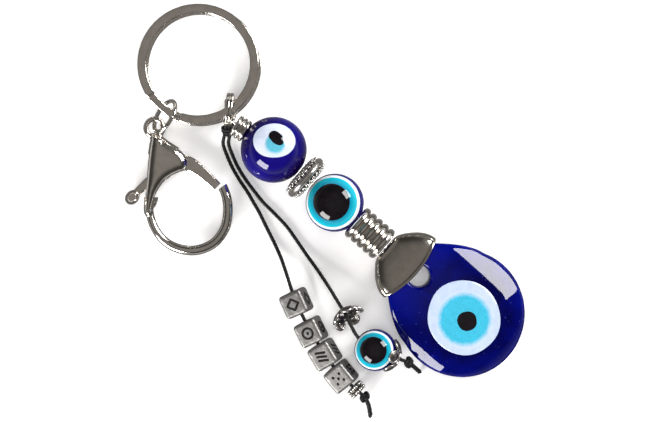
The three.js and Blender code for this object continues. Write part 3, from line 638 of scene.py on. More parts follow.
def faded(name, inner, outer, radii, centre=(0, 0), size=1.2, swirl=0.45):
    """Light blue glass that pales towards its rim, where it has run into the white."""
    s = Shader(name, IOR=1.5, Roughness=0.06)
    r = s.math("ADD", s.radius(centre), s.uneven(s.noise(size, 4, distortion=1.0), swirl * 2, 0))
    streaks = s.noise(size * 0.8, 6, distortion=2.0)
    body = s.ramp(streaks, [(0.3, [c * 0.8 for c in inner]), (0.65, inner)])
    share = s.ramp(s.math("DIVIDE", r, radii[1]), [(radii[0] / radii[1], 0.0), (0.99, 1.0)])
    s.set("Base Color", s.mix(share, body, outer))
    s.bump(s.noise(1.5, 4, distortion=1.5), 0.025)
    return s.material


milk = (0.50, 0.58, 0.75)
pendant_white_glass = enamel("white_glass", (0.40, 0.49, 0.68), milk, size=2.2)
bead_white_glass = enamel("bead_white_glass", (0.50, 0.58, 0.74), (0.66, 0.71, 0.84), size=2.6)
pendant_sky = faded("sky_glass", (0.045, 0.44, 0.64), milk, (5.9, 7.4))
bead_sky = faded("bead_sky_glass", (0.10, 0.45, 0.60), (0.58, 0.66, 0.80), (2.1, 3.0),
                 centre=(0.22, -1.18), swirl=0.35)
white_resin = enamel("white_resin", (0.68, 0.74, 0.78), (0.78, 0.82, 0.84))
black = enamel("pupil_black", (0.003, 0.003, 0.004), (0.008, 0.006, 0.008), rough=0.05)


def cyan(name, inner, outer, radii):
    """Light blue resin that brightens outwards, with faint clouds in it."""
    s = Shader(name, IOR=1.5, Roughness=0.05)
    ring = s.math("DIVIDE", s.radius(), radii[1])
    tone = s.ramp(ring, [(radii[0] / radii[1], inner), (0.995, outer)])
    clouds = s.ramp(s.noise(1.4, 3), [(0.3, 0.0), (0.8, 0.18)])
    s.set("Base Color", s.mix(clouds, tone, (0.0, 0.30, 0.42)))
    s.bump(s.noise(4.0, 1), 0.01)
    return s.material


resin_cyan = cyan("cyan_resin", (0.003, 0.17, 0.30), (0.004, 0.44, 0.56), (4.6, 6.4))
drop_cyan = cyan("drop_cyan_resin", (0.003, 0.18, 0.31), (0.004, 0.42, 0.55), (3.2, 4.5))


def waxed():
    """Waxed cotton: black, with a dull sheen, dusty fibres and a fine weave."""
    s = Shader("waxed_cord", Sheen=0.04, Specular=0.22)
    dust = s.ramp(s.noise(0.25, 4), [(0.45, (0.0045, 0.0045, 0.005)), (0.78, (0.020, 0.020, 0.021))])
    s.set("Base Color", dust)
    s.set("Roughness", s.uneven(s.noise(0.3, 2), 0.3, 0.51))
    s.bump(s.noise(0.12, 3), 0.03)
    return s.material


cord_black = waxed()

# ---------------------------------------------------------------- cords, with their knots


def laid_cord(path, diameter=CORD):
    """A laid cord: its round section is lobed, and the lobes wind round it."""
    strands, lay = 3, 3.2
    run = np.concatenate([[0], np.cumsum(np.linalg.norm(np.diff(path, axis=0), axis=1))])
    a = around(18)
    lobe = np.abs(np.cos(strands / 2 * (a[None] - 2 * math.pi * run[:, None] / lay)))
    return skin(sweep(path, polar(a, diameter / 2 * (0.86 + 0.16 * lobe ** 0.7))[..., :2]))


def knot_path(centre, along, size):
    """An overhand knot drawn tight: a trefoil whose axis runs along the cord."""
    t = np.linspace(0, 2 * math.pi, 90, endpoint=False)
    x = (np.sin(t) + 2 * np.sin(2 * t)) / 3
    y = (np.cos(t) - 2 * np.cos(2 * t)) / 3
    z = -np.sin(3 * t) * 0.55
    m = np.array(frame_along((0, 0, 0), along).to_3x3())
    return (np.column_stack([x, y, z]) * size) @ m.T + np.asarray(centre, float)


def knot(name, start, centre, along, tail):
    """The knot at a cord's end and its tail, whose end is frayed into fibres."""
    path = catmull([centre, *tail], 0.2)
    parts = [tube(knot_path(centre, along, 1.12), 0.5, 12, closed=True), laid_cord(path, 1.25 * CORD)]
    parts += [laid_cord(catmull([start, centre], 0.2)), grain(centre, 0.95)]
    end, way, fibre = path[-1], unit(path[-1] - path[-4]), 0.12
    for _ in range(22):
        spread = unit(way + rng.normal(0, 0.36, 3) * vec(1, 1, 0.5))
        root = end + rng.normal(0, 0.16, 3) * vec(1, 1, 0.4)
        strand = [root - way * 0.4, root, root + spread * (0.25 + 0.35 * rng.random())]
        strand[2][2] = max(strand[2][2], fibre)
        parts.append(tube(catmull(strand, 0.12), fibre, 5))
    return make(name, parts, [cord_black], sharp=80)


left_route = CORD_LEFT + [(*at, cube_height) for at, _ in CUBES] + [SPACER_AT, (9.25, -52.45, 2.3)]
right_route = CORD_RIGHT + [UPPER_FLOWER_AT] + DROP_ROUTE + [tuple(lower_flower), (19.9, -43.7, 5.2)]
cord_data = []
for name, route in (("cord_left", left_route), ("cord_right", right_route)):
    path = catmull(route, 0.22)
    cord_data.append((make(name + "_laid", [laid_cord(path)], [cord_black], sharp=80), path, name))

knot_left = knot("knot_left_tied", left_route[-1], LEFT_KNOT, heading(-50), LEFT_TAIL)
knot_right = knot("knot_right_tied", right_route[-1], RIGHT_KNOT, heading(-25), RIGHT_TAIL)

# ---------------------------------------------------------------- split ring and links


def split_ring():
    """Two coils of flat wire. The wire steps from the upper one to the lower one on a short ramp."""
    start, ramp, landed, end = (math.radians(a) for a in (250, 571, 596, 925))
    near = np.array([0, 0.02, 0.07, 0.16, 0.3, 0.5, 0.75, 1.0]) * RING["band"] / 2 / ring_middle
    angles = np.concatenate([start + near, np.linspace(start, end, 460)[4:-4], end - near[::-1]])
    step = math.radians(3)
    drop = 0.3 * smoothstep(angles, ramp, ramp + step) + 0.7 * smoothstep(angles, ramp + step, landed)
    shift = RING["sway"] * (2 * drop - 1)
    level = RING["coil"] / 2 + (1 - drop) * (RING["coil"] + RING["slit"])
    path = polar(angles, ring_middle, level) + shift[:, None] * vec(1, -0.5, 0)
    section = rounded_rectangle(RING["band"] / 2, RING["coil"] / 2, 0.24)
    reach = np.minimum(angles - start, end - angles) * ring_middle / (RING["band"] / 2)
    narrow = np.sqrt(np.clip(1 - (1 - np.clip(reach, 0, 1)) ** 2, 0.02, 1))
    on_ramp = smoothstep(angles, ramp, ramp + step) * (1 - smoothstep(angles, landed - step, landed))
    narrow = narrow * (1 - 0.14 * on_ramp)
    sections = section[None] * np.stack([narrow, np.ones_like(narrow)], axis=-1)[:, None]
    lift = math.asin(RING["rise"] / 2 / RING["radius"])
    c, s = math.cos(lift), math.sin(lift)
    place = basis(vec(1, 0, 0), vec(0, c, -s), vec(0, s, c), ring_centre)
    return make("split_ring_coil", [skin(sweep(path, sections, polar(angles)))], [nickel], place)


def jump_link():
    """A wire bent round, with its two cut ends nearly touching."""
    opening, cut, steps = 78, 2.2, 90
    a = np.radians(np.linspace(opening + cut, opening + 360 - cut, steps))
    path = polar(a, LINK["radius"], np.linspace(-0.1, 0.1, steps))
    place = basis(link_along, link_up, np.cross(link_along, link_up), link_centre)
    return make("clasp_link_wire", [tube(path, LINK["wire"] / 2, 14)], [nickel], place)


ring = split_ring()
link = jump_link()


def connector():
    """Two turns of wire side by side."""
    t = np.linspace(0, 1, 220)
    angle = loop_angle - math.pi + 4 * math.pi * t
    r = CONNECTOR["radius"]
    path = (connector_centre + r * np.cos(angle)[:, None] * connector_out
            + r * np.sin(angle)[:, None] * UP
            + (CONNECTOR["pitch"] * (2 * t - 1))[:, None] * connector_side)
    radial = np.cos(angle)[:, None] * connector_out + np.sin(angle)[:, None] * UP
    band = rounded_rectangle(0.42, 0.52, 0.34)
    ends = [ball(0.5, p) for p in (path[0], path[-1])]
    return make("connector_double_ring", [skin(sweep(path, band, radial)), *ends], [nickel])


connector_piece = connector()


def wire_wrap():
    """Five close turns of thin wire that bind the hitch under the split ring."""
    t = np.linspace(0, 5, 150)
    start, end = vec(-25.45, 18.75, 6.35), vec(-23.0, 19.4, 6.35)
    along = unit(end - start)
    across = np.cross(UP, along)
    angle = 2 * math.pi * t
    path = (start + (t / 5)[:, None] * (end - start) + 0.42 * np.cos(angle)[:, None] * across
            + 0.42 * np.sin(angle)[:, None] * UP)
    return make("wire_wrap", [tube(path, 0.2, 8)], [wire_nickel])


wrap = wire_wrap()


def hitch():
    """A lark's head hitch: three strands over the connector's wire, bound by two turns of cord."""
    parts = []
    for top, low in ((-25.55, -26.0), (-24.65, -25.3), (-23.8, -24.6)):
        strand = [(low, 14.35, 2.4), (low, 15.0, 3.6), (top, 15.7, 5.0), (top, 16.7, 6.15),
                  (top, 17.9, 6.3), (top, 18.75, 5.4), (top, 18.9, 4.3), (top, 18.3, 3.3)]
        parts.append(laid_cord(catmull(strand, 0.2)))
    t = np.linspace(0, 2.1, 120)
    angle = 2 * math.pi * t
    out, along = unit(vec(0, -0.72, 0.69)), unit(vec(0, -0.69, -0.72))
    turns = (vec(-24.75, 15.75, 4.55) + 1.62 * np.cos(angle)[:, None] * vec(1, 0, 0)
             + 0.98 * np.sin(angle)[:, None] * out + ((t - 1.05) * 0.95)[:, None] * along)
    parts.append(laid_cord(turns))
    parts.append(moved(ball(1.0), np.diag([1.35, 1.0, 1.1]), vec(-24.7, 15.6, 3.7)))
    return make("cord_hitch_tied", parts, [cord_black], sharp=80)


hitch_piece = hitch()

# ---------------------------------------------------------------- lobster clasp

SHELL_OUTLINE = [
    (-0.7, -1.7), (-1.2, -3.4), (-1.9, -8.5), (-2.3, -13.5), (-2.75, -18.5), (-2.5, -22.6),
    (-1.0, -23.2), (-0.3, -20.4), (0.9, -16.8), (3.1, -13.7), (6.2, -11.9), (8.0, -11.2), (8.8, -9.2), (8.3, -7.2),
    (6.6, -5.4), (3.2, -3.1), (1.5, -1.9),
]
SLOT_OUTLINE = [(-9, -18), (-9, -8.2), (-1.8, -6.9), (4, -5.4), (14, -5.4), (14, -17), (1.6, -18)]
HOOK_ROUTE = [
    (-1.35, -18.5), (-1.2, -22.0), (0.0, -25.9), (3.0, -29.6), (7.2, -31.5), (11.3, -31.6),
    (15.4, -29.8), (18.2, -26.0), (19.0, -21.8), (18.7, -18.2), (17.6, -15.2), (16.7, -13.8),
]


def prism(points, low, high):
    return skin([[(x, y, z) for x, y in points] for z in (low, high)])


def clasp_body():
    """The casting, fused from its shapes, then slotted for the lever and faced at the hook's tip."""
    half = CLASP["shell"] / 2
    outline = catmull([(*p, 0) for p in SHELL_OUTLINE], 0.3, closed=True)[:, :2]

    def height(p, d, _):
        h = half * bulge(d, 3.1, 0.5) * (1 - 0.10 * smoothstep(p[:, 1], -9, -22))
        return h, -h

    shell = pillow(outline, height, 0.45)
    route = catmull([(*p, 0) for p in HOOK_ROUTE], 0.35)
    u = np.linspace(0, 1, len(route))
    thick = np.interp(u, [0, 0.2, 0.5, 1], [1.05, 1.12, 1.33, 1.26])
    section = circle(1, 20)[None] * thick[:, None, None]
    hook = skin(sweep(route, section))
    neck = tube([(0.2, -1.6, 0), (0.2, -3.0, 0), (0.2, -4.5, 0)], 0.72)
    tab = tube(catmull([(0.7, -16.6, 0), (0.5, -18.6, 0), (-0.15, -20.5, 0)], 0.3), 0.42)
    eye = torus(CLASP["eye"], CLASP["eye_wire"])
    body = make("clasp_casting", [shell, hook, neck, tab, eye], [nickel])
    settle(body, ("REMESH", dict(mode="VOXEL", voxel_size=0.15 * MM, use_smooth_shade=True)),
           ("SMOOTH", dict(factor=0.6, iterations=9)))
    carve(body, prism(SLOT_OUTLINE, -1.1, 1.1))
    tip, tip_way, reach = vec(17.25, -15.45, 0), unit(vec(-2.0, 2.8, 0)), 3
    side = np.cross(UP, tip_way) * reach
    corners = [tip + side * s + UP * reach * z for s, z in ((-1, -1), (1, -1), (1, 1), (-1, 1))]
    carve(body, skin([corners, [c + tip_way * 4 for c in corners]]))
    body.matrix_world = clasp_place
    return smooth_shade(body, 45)


clasp = clasp_body()


def flat_bar(points, widths, thickness, round_edge=0.35):
    """A flat arm along a smooth line, with softened edges."""
    path = catmull([(*p, 0) for p in points], 0.25)
    halves = np.interp(np.linspace(0, 1, len(path)), np.linspace(0, 1, len(widths)), widths) / 2
    sections = np.stack([rounded_rectangle(half, thickness / 2, round_edge) for half in halves])
    run = np.gradient(path, axis=0)
    return skin(sweep(path, sections, np.cross(run / np.linalg.norm(run, axis=1)[:, None], UP)))


def clasp_lever():
    px, py = CLASP["pivot"]
    thumb = flat_bar([(px, py), (-1.6, -14.0), (-5.2, -17.4)], [2.6, 2.3, 2.0], 1.7)
    pad = turned(moved(ball(1.0, sides=24), np.diag([2.1, 1.75, 1.8])), 48)
    pad = moved(pad, shift=(-5.75, -18.0, 0))
    beam = flat_bar([(px, py), (6.0, -9.4), (8.8, -9.3), (11.9, -11.25), (14.2, -13.3), (16.25, -15.25)],
                    [3.0, 3.6, 3.9, 3.1, 2.75, 2.4], 1.7)
    hub = lathe([(1.2, -0.8), (2.1, -0.8), (2.3, -0.6), (2.3, 0.6), (2.1, 0.8), (1.2, 0.8)], 40)
    hub = moved(hub, shift=(px, py, 0))
    return make("clasp_lever_arm", [thumb, pad, beam, hub], [nickel], clasp_place)


lever = clasp_lever()


def rivet():
    """The lever's pivot, peened at the back and hidden at the front."""
    h, r = CLASP["shell"] / 2, 0.9
    profile = [(0.01, -h - 0.05), (r * 0.7, -h), (r, -h + 0.25), (r, h - 0.5), (0.01, h - 0.45)]
    place = shifted(clasp_place, *CLASP["pivot"])
    return make("clasp_rivet_pin", [lathe(profile, 32)], [gunmetal], place)


rivet_piece = rivet()

# ---------------------------------------------------------------- strand


def strand_wire():
    """The wire of the strand: a loop on the connector, a stem through the beads and a stop ball."""
    towards = top_centre - loop_centre
    towards = unit(towards - loop_normal * np.dot(towards, loop_normal))
    stem = loop_centre + towards * WIRE["loop"]
    through = [on_strand(s) for s in (0, rondelle_at, resin_at, coil_at, ball_at)]
    entry = top_centre - top_axis * TOP_BEAD["length"] / 4
    path = catmull([stem, entry, top_centre, *through], 0.5)
    upright = np.array(frame_along((0, 0, 0), loop_normal).to_3x3())
    parts = [moved(torus(WIRE["loop"], 0.52), upright, loop_centre),
             tube(path, WIRE["thickness"] / 2, 10), ball(WIRE["ball"] / 2, on_strand(ball_at), 20)]
    return make("strand_wire_drawn", parts, [wire_nickel])


wire = strand_wire()


def ribbed(name, size, ribs, depth, bore, place, material, dish=0.0):
    """A bead of rounded ribs, with a rolled edge at both ends of its bore."""
    diameter, length = size["diameter"], size["length"]
    n = 14 * ribs
    z = np.linspace(-length / 2, length / 2, n + 1)
    phase = (np.arange(n + 1) / n * ribs) % 1
    swell = np.sqrt(np.clip(1 - (2 * phase - 1) ** 2, 0, 1))
    outer = [(diameter / 2 - depth * (1 - s), h) for s, h in zip(swell, z)]
    inner = [(bore / 2 + 0.25, length / 2 - 0.05 - dish), (bore / 2, length / 2 - 0.35 - dish),
             (bore / 2, -length / 2 + 0.35), (bore / 2 + 0.25, -length / 2 + 0.05)]
    return make(name, [lathe(outer + inner, 96)], [material], place, sharp=70)


top_bead = ribbed("top_bead_ribbed", TOP_BEAD, 3, 0.7, 1.9, frame_along(top_centre, top_axis),
                  wire_nickel, dish=0.6)
coil = ribbed("coil_bead_ribbed", COIL, COIL["ribs"], 0.95, COIL["bore"],
              frame_along(on_strand(coil_at), strand_axis), nickel)


def drilled_ball(radius, bore):
    """A ball with a hole through it; the hole's edges are rounded."""
    start = math.asin(bore / radius)
    a = np.linspace(start * 1.12, math.pi - start * 1.12, 56)
    outer = [(radius * math.sin(t), -radius * math.cos(t)) for t in a]
    lip = radius * math.cos(start)
    hole = [(bore + 0.06, lip - 0.03), (bore, lip - 0.4), (bore, -lip + 0.4), (bore + 0.06, -lip + 0.03)]
    return lathe(outer + hole, 96)


def wavy(a, wobble, seed, orders):
    """A few slow waves round an edge, as a share of its radius."""
    local = np.random.default_rng(seed)
    return sum(local.normal(0, wobble / k) * np.cos(k * a + local.uniform(0, 6.3)) for k in orders)


def eye_cap(radius, spread, lift, crown, tilt, wobble, oval, seed, turn=0):
    """A drop of glass on a ball, centred on local Z: spread is its radius, in millimetres."""
    a = around(96)
    edge = wavy(a, wobble, seed, (2, 3, 4, 5))
    about = a - math.radians(turn)
    oval_r = 1 / np.sqrt((np.cos(about) / oval[0]) ** 2 + (np.sin(about) / oval[1]) ** 2)
    limit = np.arcsin(np.clip(spread / radius * oval_r * (1 + edge), 0, 0.985))
    levels = [(s, radius + lift + crown * (1 - s ** 2)) for s in np.linspace(0.02, 1, 22)]
    levels += [(1.008, radius + lift * 0.4), (1.01, radius - 0.25), (0.99, radius - 0.5)]
    rings = [polar(a, r * np.sin(limit * s), r * np.cos(limit * s)) for s, r in levels]
    return moved(skin(rings), rotation(tilt[0], "Y") @ rotation(-tilt[1], "X"))


def eye_bead(name, size, centre, axis, lean, bearing, layers, glass, bore):
    """A bead with an eye on it, in layers: (suffix, spread, lift, crown, tilt, wobble, oval,
    material, turn)."""
    radius = size / 2
    place = frame_along(centre, axis)
    pieces = [make(name + "_ball", [drilled_ball(radius, bore)], [glass], place, sharp=50)]
    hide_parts(name)
    pole = heading(bearing, 90 - lean)
    x = unit(np.cross(vec(0, 1, 0), pole))
    place = basis(x, np.cross(pole, x), pole, centre)
    for k, (suffix, *shape, material, turn) in enumerate(layers):
        drop = eye_cap(radius, *shape, k + 1, turn)
        cap = make(f"{name}_{suffix}_drop", [drop], [material], place, sharp=50)
        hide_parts(f"{name}_{suffix}")
        pieces.append(cap)
    return pieces


glass_pieces = eye_bead("glass_bead", GLASS_SIZE, on_strand(0), glass_axis, 18.5, 84, [
    ("white", 5.25, 0.02, 0.10, (0, 0), 0.03, (1.02, 0.88), bead_white_glass, 0),
    ("blue", 2.95, 0.10, 0.05, (1.5, -8.0), 0.05, (0.92, 1.04), bead_sky, 0),
    ("pupil", 1.95, 0.16, 0.05, (3.6, 1.6), 0.05, (0.80, 1.08), black, 42),
], bead_blue_glass, 0.95)
resin_pieces = eye_bead("resin_bead", RESIN_SIZE, on_strand(resin_at), strand_axis, 9, 172, [
    ("white", 6.96, 0.004, 0.0, (0, 0), 0.0, (1, 1), white_resin, 0),
    ("blue", 6.36, 0.010, 0.0, (0, 0), 0.0, (1, 1), resin_cyan, 0),
    ("pupil", 4.7, 0.016, 0.0, (0.6, 0), 0.004, (1, 1), black, 0),
], resin_blue, 0.8)
drop_pieces = eye_bead("drop_bead", DROP_SIZE, drop_centre, heading(DROP_BEARING), 9, 175, [
    ("white", 4.95, 0.004, 0.0, (0, 0), 0.0, (1, 1), white_resin, 0),
    ("blue", 4.5, 0.009, 0.0, (0, 0), 0.0, (1, 1), drop_cyan, 0),
    ("pupil", 3.45, 0.014, 0.0, (0.8, 0.4), 0.004, (1, 1), black, 0),
], resin_blue, 0.85)


def rondelle():
    """A polished band between rows of granules on a blackened body."""
    r, h = RONDELLE["diameter"] / 2, RONDELLE["length"] / 2
    half = [(r - 0.45, h * 0.3), (r - 1.2, h * 0.62), (3.6, h * 0.82), (2.2, h), (0.9, h)]
    core = lathe([(x, -z) for x, z in half[::-1]] + half, 96)
    t = np.linspace(-math.pi / 2, math.pi / 2, 13)
    band = [(r - 0.75 + 0.75 * math.cos(a), 0.9 * math.sin(a)) for a in t]
    band = lathe(band + [(r - 1.0, 0.6), (r - 1.0, -0.6)], 128)
    collar = [moved(torus(1.75, 0.5, 48, 10), shift=(0, 0, s * (h - 0.22))) for s in (-1, 1)]
    parts = [(*core, 1), band, *collar]
    rows = ((0.80, 1.28, 0.42, 26, 0.5), (1.75, 1.66, 0.42, 20, 0.5), (2.75, 1.82, 0.40, 16, 0))
    for inset, level, size, count, offset in rows:
        for k in range(count):
            a = 2 * math.pi * (k + offset) / count
            for side in (-1, 1):
                parts.append(grain(polar(a, r - inset, side * level), size))
    place = frame_along(on_strand(rondelle_at), strand_axis)
    return make("rondelle_granulated", parts, [bright_silver, black_oxide], place)


rondelle_piece = rondelle()

# ---------------------------------------------------------------- pendant


def pendant_half_width(along):
    """Half the width of the glass: round as far as the shoulder, then a hollow flank to the neck."""
    shoulder, r, c = 20, PENDANT["radius"], PENDANT["centre"]
    round_part = np.sqrt(np.clip(r ** 2 - (along - c) ** 2, 0, None))
    at_shoulder = math.sqrt(r ** 2 - (shoulder - c) ** 2)
    u = np.clip((shoulder - along) / (shoulder - PENDANT["neck"]), 0, 1)
    return np.where(along >= shoulder, round_part, at_shoulder + (5.2 - at_shoulder) * u ** 1.55)


def neck_share(along):
    """The glass thins towards its neck."""
    return 0.72 + 0.28 * np.clip((along - PENDANT["neck"]) / 9, 0, 1)


def pendant_top(p, d):
    """The face: part of a sphere, drawn out along the neck, at a distance d from the rim."""
    dome = PENDANT["dome"]
    ahead = p[:, 0] - PENDANT["centre"] - PENDANT["high_point"]
    out = np.clip(np.hypot(ahead * np.where(ahead < 0, 0.45, 1.25), p[:, 1]), 0, 20)
    sphere = PENDANT["crown"] - (dome - np.sqrt(dome ** 2 - out ** 2))
    return (sphere - 0.35 * (1 - bulge(d, 1.1))) * neck_share(p[:, 0])


def pendant_glass():
    end = PENDANT["centre"] + PENDANT["radius"]
    along = PENDANT["neck"] + (end - PENDANT["neck"]) * (1 - np.cos(np.linspace(0, math.pi, 70))) / 2
    half = pendant_half_width(along)
    rim = np.concatenate([np.column_stack([along, half]), np.column_stack([along, -half])[-2::-1]])
    rim = catmull(rim, 0.5, closed=True)
    a = np.arctan2(rim[:, 1], rim[:, 0] - PENDANT["centre"])
    rim = rim + polar(a, 0.10 * np.cos(3 * a + 1) - 0.10)[:, :2]
    hole = circle(PENDANT["hole"] / 2, 48) + vec(PENDANT["hole_at"], 0)

    def height(p, d, dh):
        top = pendant_top(p, d)
        bottom = (-1.35 - 2.15 * bulge(d, 1.8, 0.42)) * neck_share(p[:, 0])
        soft = bulge(dh, 0.9, 0.5)
        middle = -0.15
        return middle + (top - middle) * soft, middle + (bottom - middle) * soft

    lump = pillow(rim, height, 0.55, holes=[hole])
    return rim, make("pendant_glass_lump", [lump], [pendant_blue_glass], pendant_place, sharp=60)


pendant_rim, pendant_lump = pendant_glass()


def pendant_drop(name, centre, radii, lift, crown, wobble, seed, material):
    """A flat drop of glass that follows the pendant's face."""
    a = around(120)
    edge = 1 + wavy(a, wobble, seed, (2, 3, 4, 5, 7))
    rings = []
    for s in list(np.linspace(0.02, 1, 20)) + [1.006, 1.0]:
        p = polar(a, s * edge)[:, :2] * vec(*radii)
        at = p + vec(*centre)
        z = pendant_top(at, edge_distance(at, pendant_rim)) + lift + crown * (1 - min(s, 1) ** 2)
        rings.append(np.column_stack([p, z]))
    rings[-2][:, 2] -= lift * 0.8
    rings[-1][:, 2] -= 0.7
    return make(name, [skin(rings)], [material], shifted(pendant_place, *centre), sharp=50)


face = vec(PENDANT["centre"] + 0.7, -0.4)
pendant_white = pendant_drop("pendant_white_drop", face, (9.65, 9.3),
                             0.05, 0.10, 0.018, 3, pendant_white_glass)
pendant_sky_piece = pendant_drop("pendant_blue_drop", face + vec(0.35, -0.30), (7.4, 7.4),
                                 0.12, 0.08, 0.02, 5, pendant_sky)
pendant_pupil = pendant_drop("pendant_pupil_drop", face + vec(1.05, -0.15), (2.62, 2.45),
                             0.22, 0.08, 0.03, 8, black)


def bubbles():
    """Seeds and tiny bubbles that break the glass surface, coloured a lighter blue as a painted glint."""
    parts = []
    while len(parts) < 46:
        p = vec(rng.uniform(12, 42), rng.uniform(-16, 16))
        d = edge_distance(p[None], pendant_rim)[0]
        on_glass = inside(p[None], pendant_rim)[0] and d >= 0.9
        on_eye = np.linalg.norm(p - face) < 10.2
        on_hole = np.hypot(p[0] - PENDANT["hole_at"], p[1]) < 3.6
        if not on_glass or on_eye or on_hole:
            continue
        r = 0.06 + 0.1 * rng.random() ** 3
        parts.append(grain((*p, pendant_top(p[None], np.array([d]))[0] - r * 0.55), r, 1, 8))
    return make("pendant_seed_bubbles", parts, [bubble_glint_glass], pendant_place)


def bubble():
    s = Shader("seed_bubble", IOR=1.5, Roughness=0.2)
    # Painted glint: a lighter blue than the glass, standing in for the light that the bubbles catch.
    s.set("Base Color", s.ramp(s.noise(0.5, 2), [(0.3, (0.02, 0.03, 0.30)), (0.7, (0.08, 0.10, 0.50))]))
    return s.material


bubble_glint_glass = bubble()
bubble_piece = bubbles()

mouth_half = float(pendant_half_width(np.array([CAP["length"]]))[0]) + CAP["slack"][0] + CAP["wall"]
mouth_depth = 4.3 * float(neck_share(CAP["length"])) + CAP["slack"][1] + CAP["wall"]


def cap_ring(share, inset, bottom, panel=0.0):
    """One cross-section of the cap. A panel sinks its faces inside a raised border."""
    swell = math.sin(math.pi / 2 * min(share, 1)) ** 0.8
    w = CAP["top"] / 2 + (mouth_half - CAP["top"] / 2) * swell - inset
    t = CAP["depth"] / 2 + (mouth_depth - CAP["depth"] / 2) * swell - inset
    a = around(112)
    u = np.sign(np.cos(a)) * np.abs(np.cos(a)) ** 0.6
    v = np.sign(np.sin(a)) * np.abs(np.sin(a)) ** 0.6
    edge = CAP["length"] + CAP["bow"] * (1 - u ** 2)
    along = bottom + (edge - bottom) * share
    border = 1 - 0.85 / w
    sink = panel * (1 - smoothstep(np.abs(u), border - 0.035, border + 0.015))
    return np.column_stack([along, w * u, t * v - np.sign(v) * sink])


def pendant_cap():
    """The pressed cap: a shell with a sunk panel on each face, and a hole for the strand's wire."""
    sides, lip = np.linspace(0.08, 0.9, 26), np.linspace(0.915, 0.99, 6)
    shares = np.concatenate([[0, 0.004, 0.02, 0.05], sides, lip, [1]])
    outer = []
    for s in shares:
        panel = 0.34 * smoothstep(s, 0.03, 0.10) * (1 - smoothstep(s, 0.90, 0.945))
        inset = 0.22 * (1 - smoothstep(s, 0.0, 0.03)) + 0.12 * smoothstep(s, 0.985, 1.0)
        outer.append(cap_ring(s, inset, 0.0, panel=panel))
    inner = [cap_ring(s, CAP["wall"], CAP["crown"]) for s in np.linspace(1, 0.0, 16)]
    inner[0] = cap_ring(1, CAP["wall"] - 0.1, CAP["crown"])
    cap = make("pendant_cap_pressed", [skin(outer + inner)], [gunmetal], sharp=55)
    carve(cap, tube([(-1, 0, 0), (1, 0, 0), (3, 0, 0)], 0.95, 24))
    cap.matrix_world = pendant_place
    return smooth_shade(cap, 50)


cap_piece = pendant_cap()


def cap_pin():
    """The pin through the cap and the hole of the glass."""
    end, along = mouth_depth - CAP["wall"] - 0.3, 9.3
    profile = [(0.01, -end), (0.6, -end), (0.75, -end + 0.2), (0.75, end - 0.2), (0.6, end), (0.01, end)]
    return make("cap_pin_turned", [lathe(profile, 32)], [gunmetal], shifted(pendant_place, along))


pin_piece = cap_pin()

# ---------------------------------------------------------------- pieces on the cords

# Generic ornaments, one for each cube: lists of strokes on a face, as (x, y) points.
ORNAMENTS = [
    [[(-1.5, 0), (0, 1.6)], [(0, 1.6), (1.5, 0)], [(1.5, 0), (0, -1.6)], [(0, -1.6), (-1.5, 0)]],
    ["ring", [(0, -0.05), (0, 0.05)]],
    [[(-1.5, -1.1), (-0.6, 1.3)], [(-0.5, -1.2), (0.5, 1.2)], [(0.6, -1.3), (1.5, 1.1)]],
    [[(x, y - 0.05), (x, y + 0.05)] for x, y in ((-1, -1), (1, -1), (1, 1), (-1, 1), (0, 0))],
]


def stroke(line, level):
    """A round stroke, a dot or a ring that lies in a face at this height."""
    groove, dot = 0.33, 0.46
    if line == "ring":
        return moved(torus(1.35, 2 * groove, 40, 10), shift=(0, 0, level))
    (x1, y1), (x2, y2) = line
    path = [(x1 + (x2 - x1) * t, y1 + (y2 - y1) * t, level) for t in np.linspace(0, 1, 6)]
    return tube(path, dot if abs(y1 - y2) < 0.2 else groove, 10)


def cube_bead(k, at, bearing):
    """A cast cube with its ornament engraved in four faces, and black oxide left in the grooves."""
    data = bpy.data.meshes.new(f"cube_bead_{k + 1}_cast")
    bm = bmesh.new()
    bmesh.ops.create_cube(bm, size=CUBE_CAST * MM)
    bmesh.ops.bevel(bm, geom=bm.edges[:], offset=0.8 * MM, segments=4, profile=0.5, affect="EDGES")
    bm.to_mesh(data)
    bm.free()
    data.materials.append(silver)
    cube = put(data.name, data)
    settle(cube, ("REMESH", dict(mode="VOXEL", voxel_size=0.14 * MM)),
           ("SMOOTH", dict(factor=0.5, iterations=3)))
    carve(cube, tube([(0, 0, -4), (0, 0, 0), (0, 0, 4)], 1.25, 32))
    above, below = CUBE_CAST / 2 + 0.02, CUBE_CAST / 2 - 0.16
    paint = []
    for m in [rotation(a, "Z") @ rotation(90, "Y") for a in (0, 90, 180, 270)]:
        for line in ORNAMENTS[k]:
            carve(cube, moved(stroke(line, above), m))
            paint.append(moved(stroke(line, below), m))
    marks = make("marks", paint, [black_oxide])
    bm = bmesh.new()
    bm.from_mesh(cube.data)
    count = len(bm.faces)
    bm.from_mesh(marks.data)
    for i, f in enumerate(bm.faces):
        f.material_index = 0 if i < count else 1
    cube.data.materials.clear()
    for material in (silver, black_oxide):
        cube.data.materials.append(material)
    bm.to_mesh(cube.data)
    bm.free()
    bpy.data.objects.remove(marks)
    cube.matrix_world = frame_along((*at, cube_height), heading(bearing), CUBE_ROLL)
    return smooth_shade(cube, 45)


cubes = [cube_bead(k, at, bearing) for k, (at, bearing) in enumerate(CUBES)]


def spacer():
    """Two rows of granules round a short sleeve."""
    sleeve = lathe([(0.85, -1.2), (1.6, -1.2), (1.85, -0.9), (1.85, 0.9), (1.6, 1.2), (0.85, 1.2)], 48)
    parts = [(*sleeve, 1)]
    for row, z in enumerate((-0.66, 0.66)):
        for k in range(9):
            parts.append(grain(polar(2 * math.pi * (k + row / 2) / 9, 1.82, z), 0.66, 0.9, 14))
    return make("beaded_spacer_granulated", parts, [bright_silver, black_oxide],
                frame_along(SPACER_AT, heading(SPACER_BEARING)))


spacer_piece = spacer()


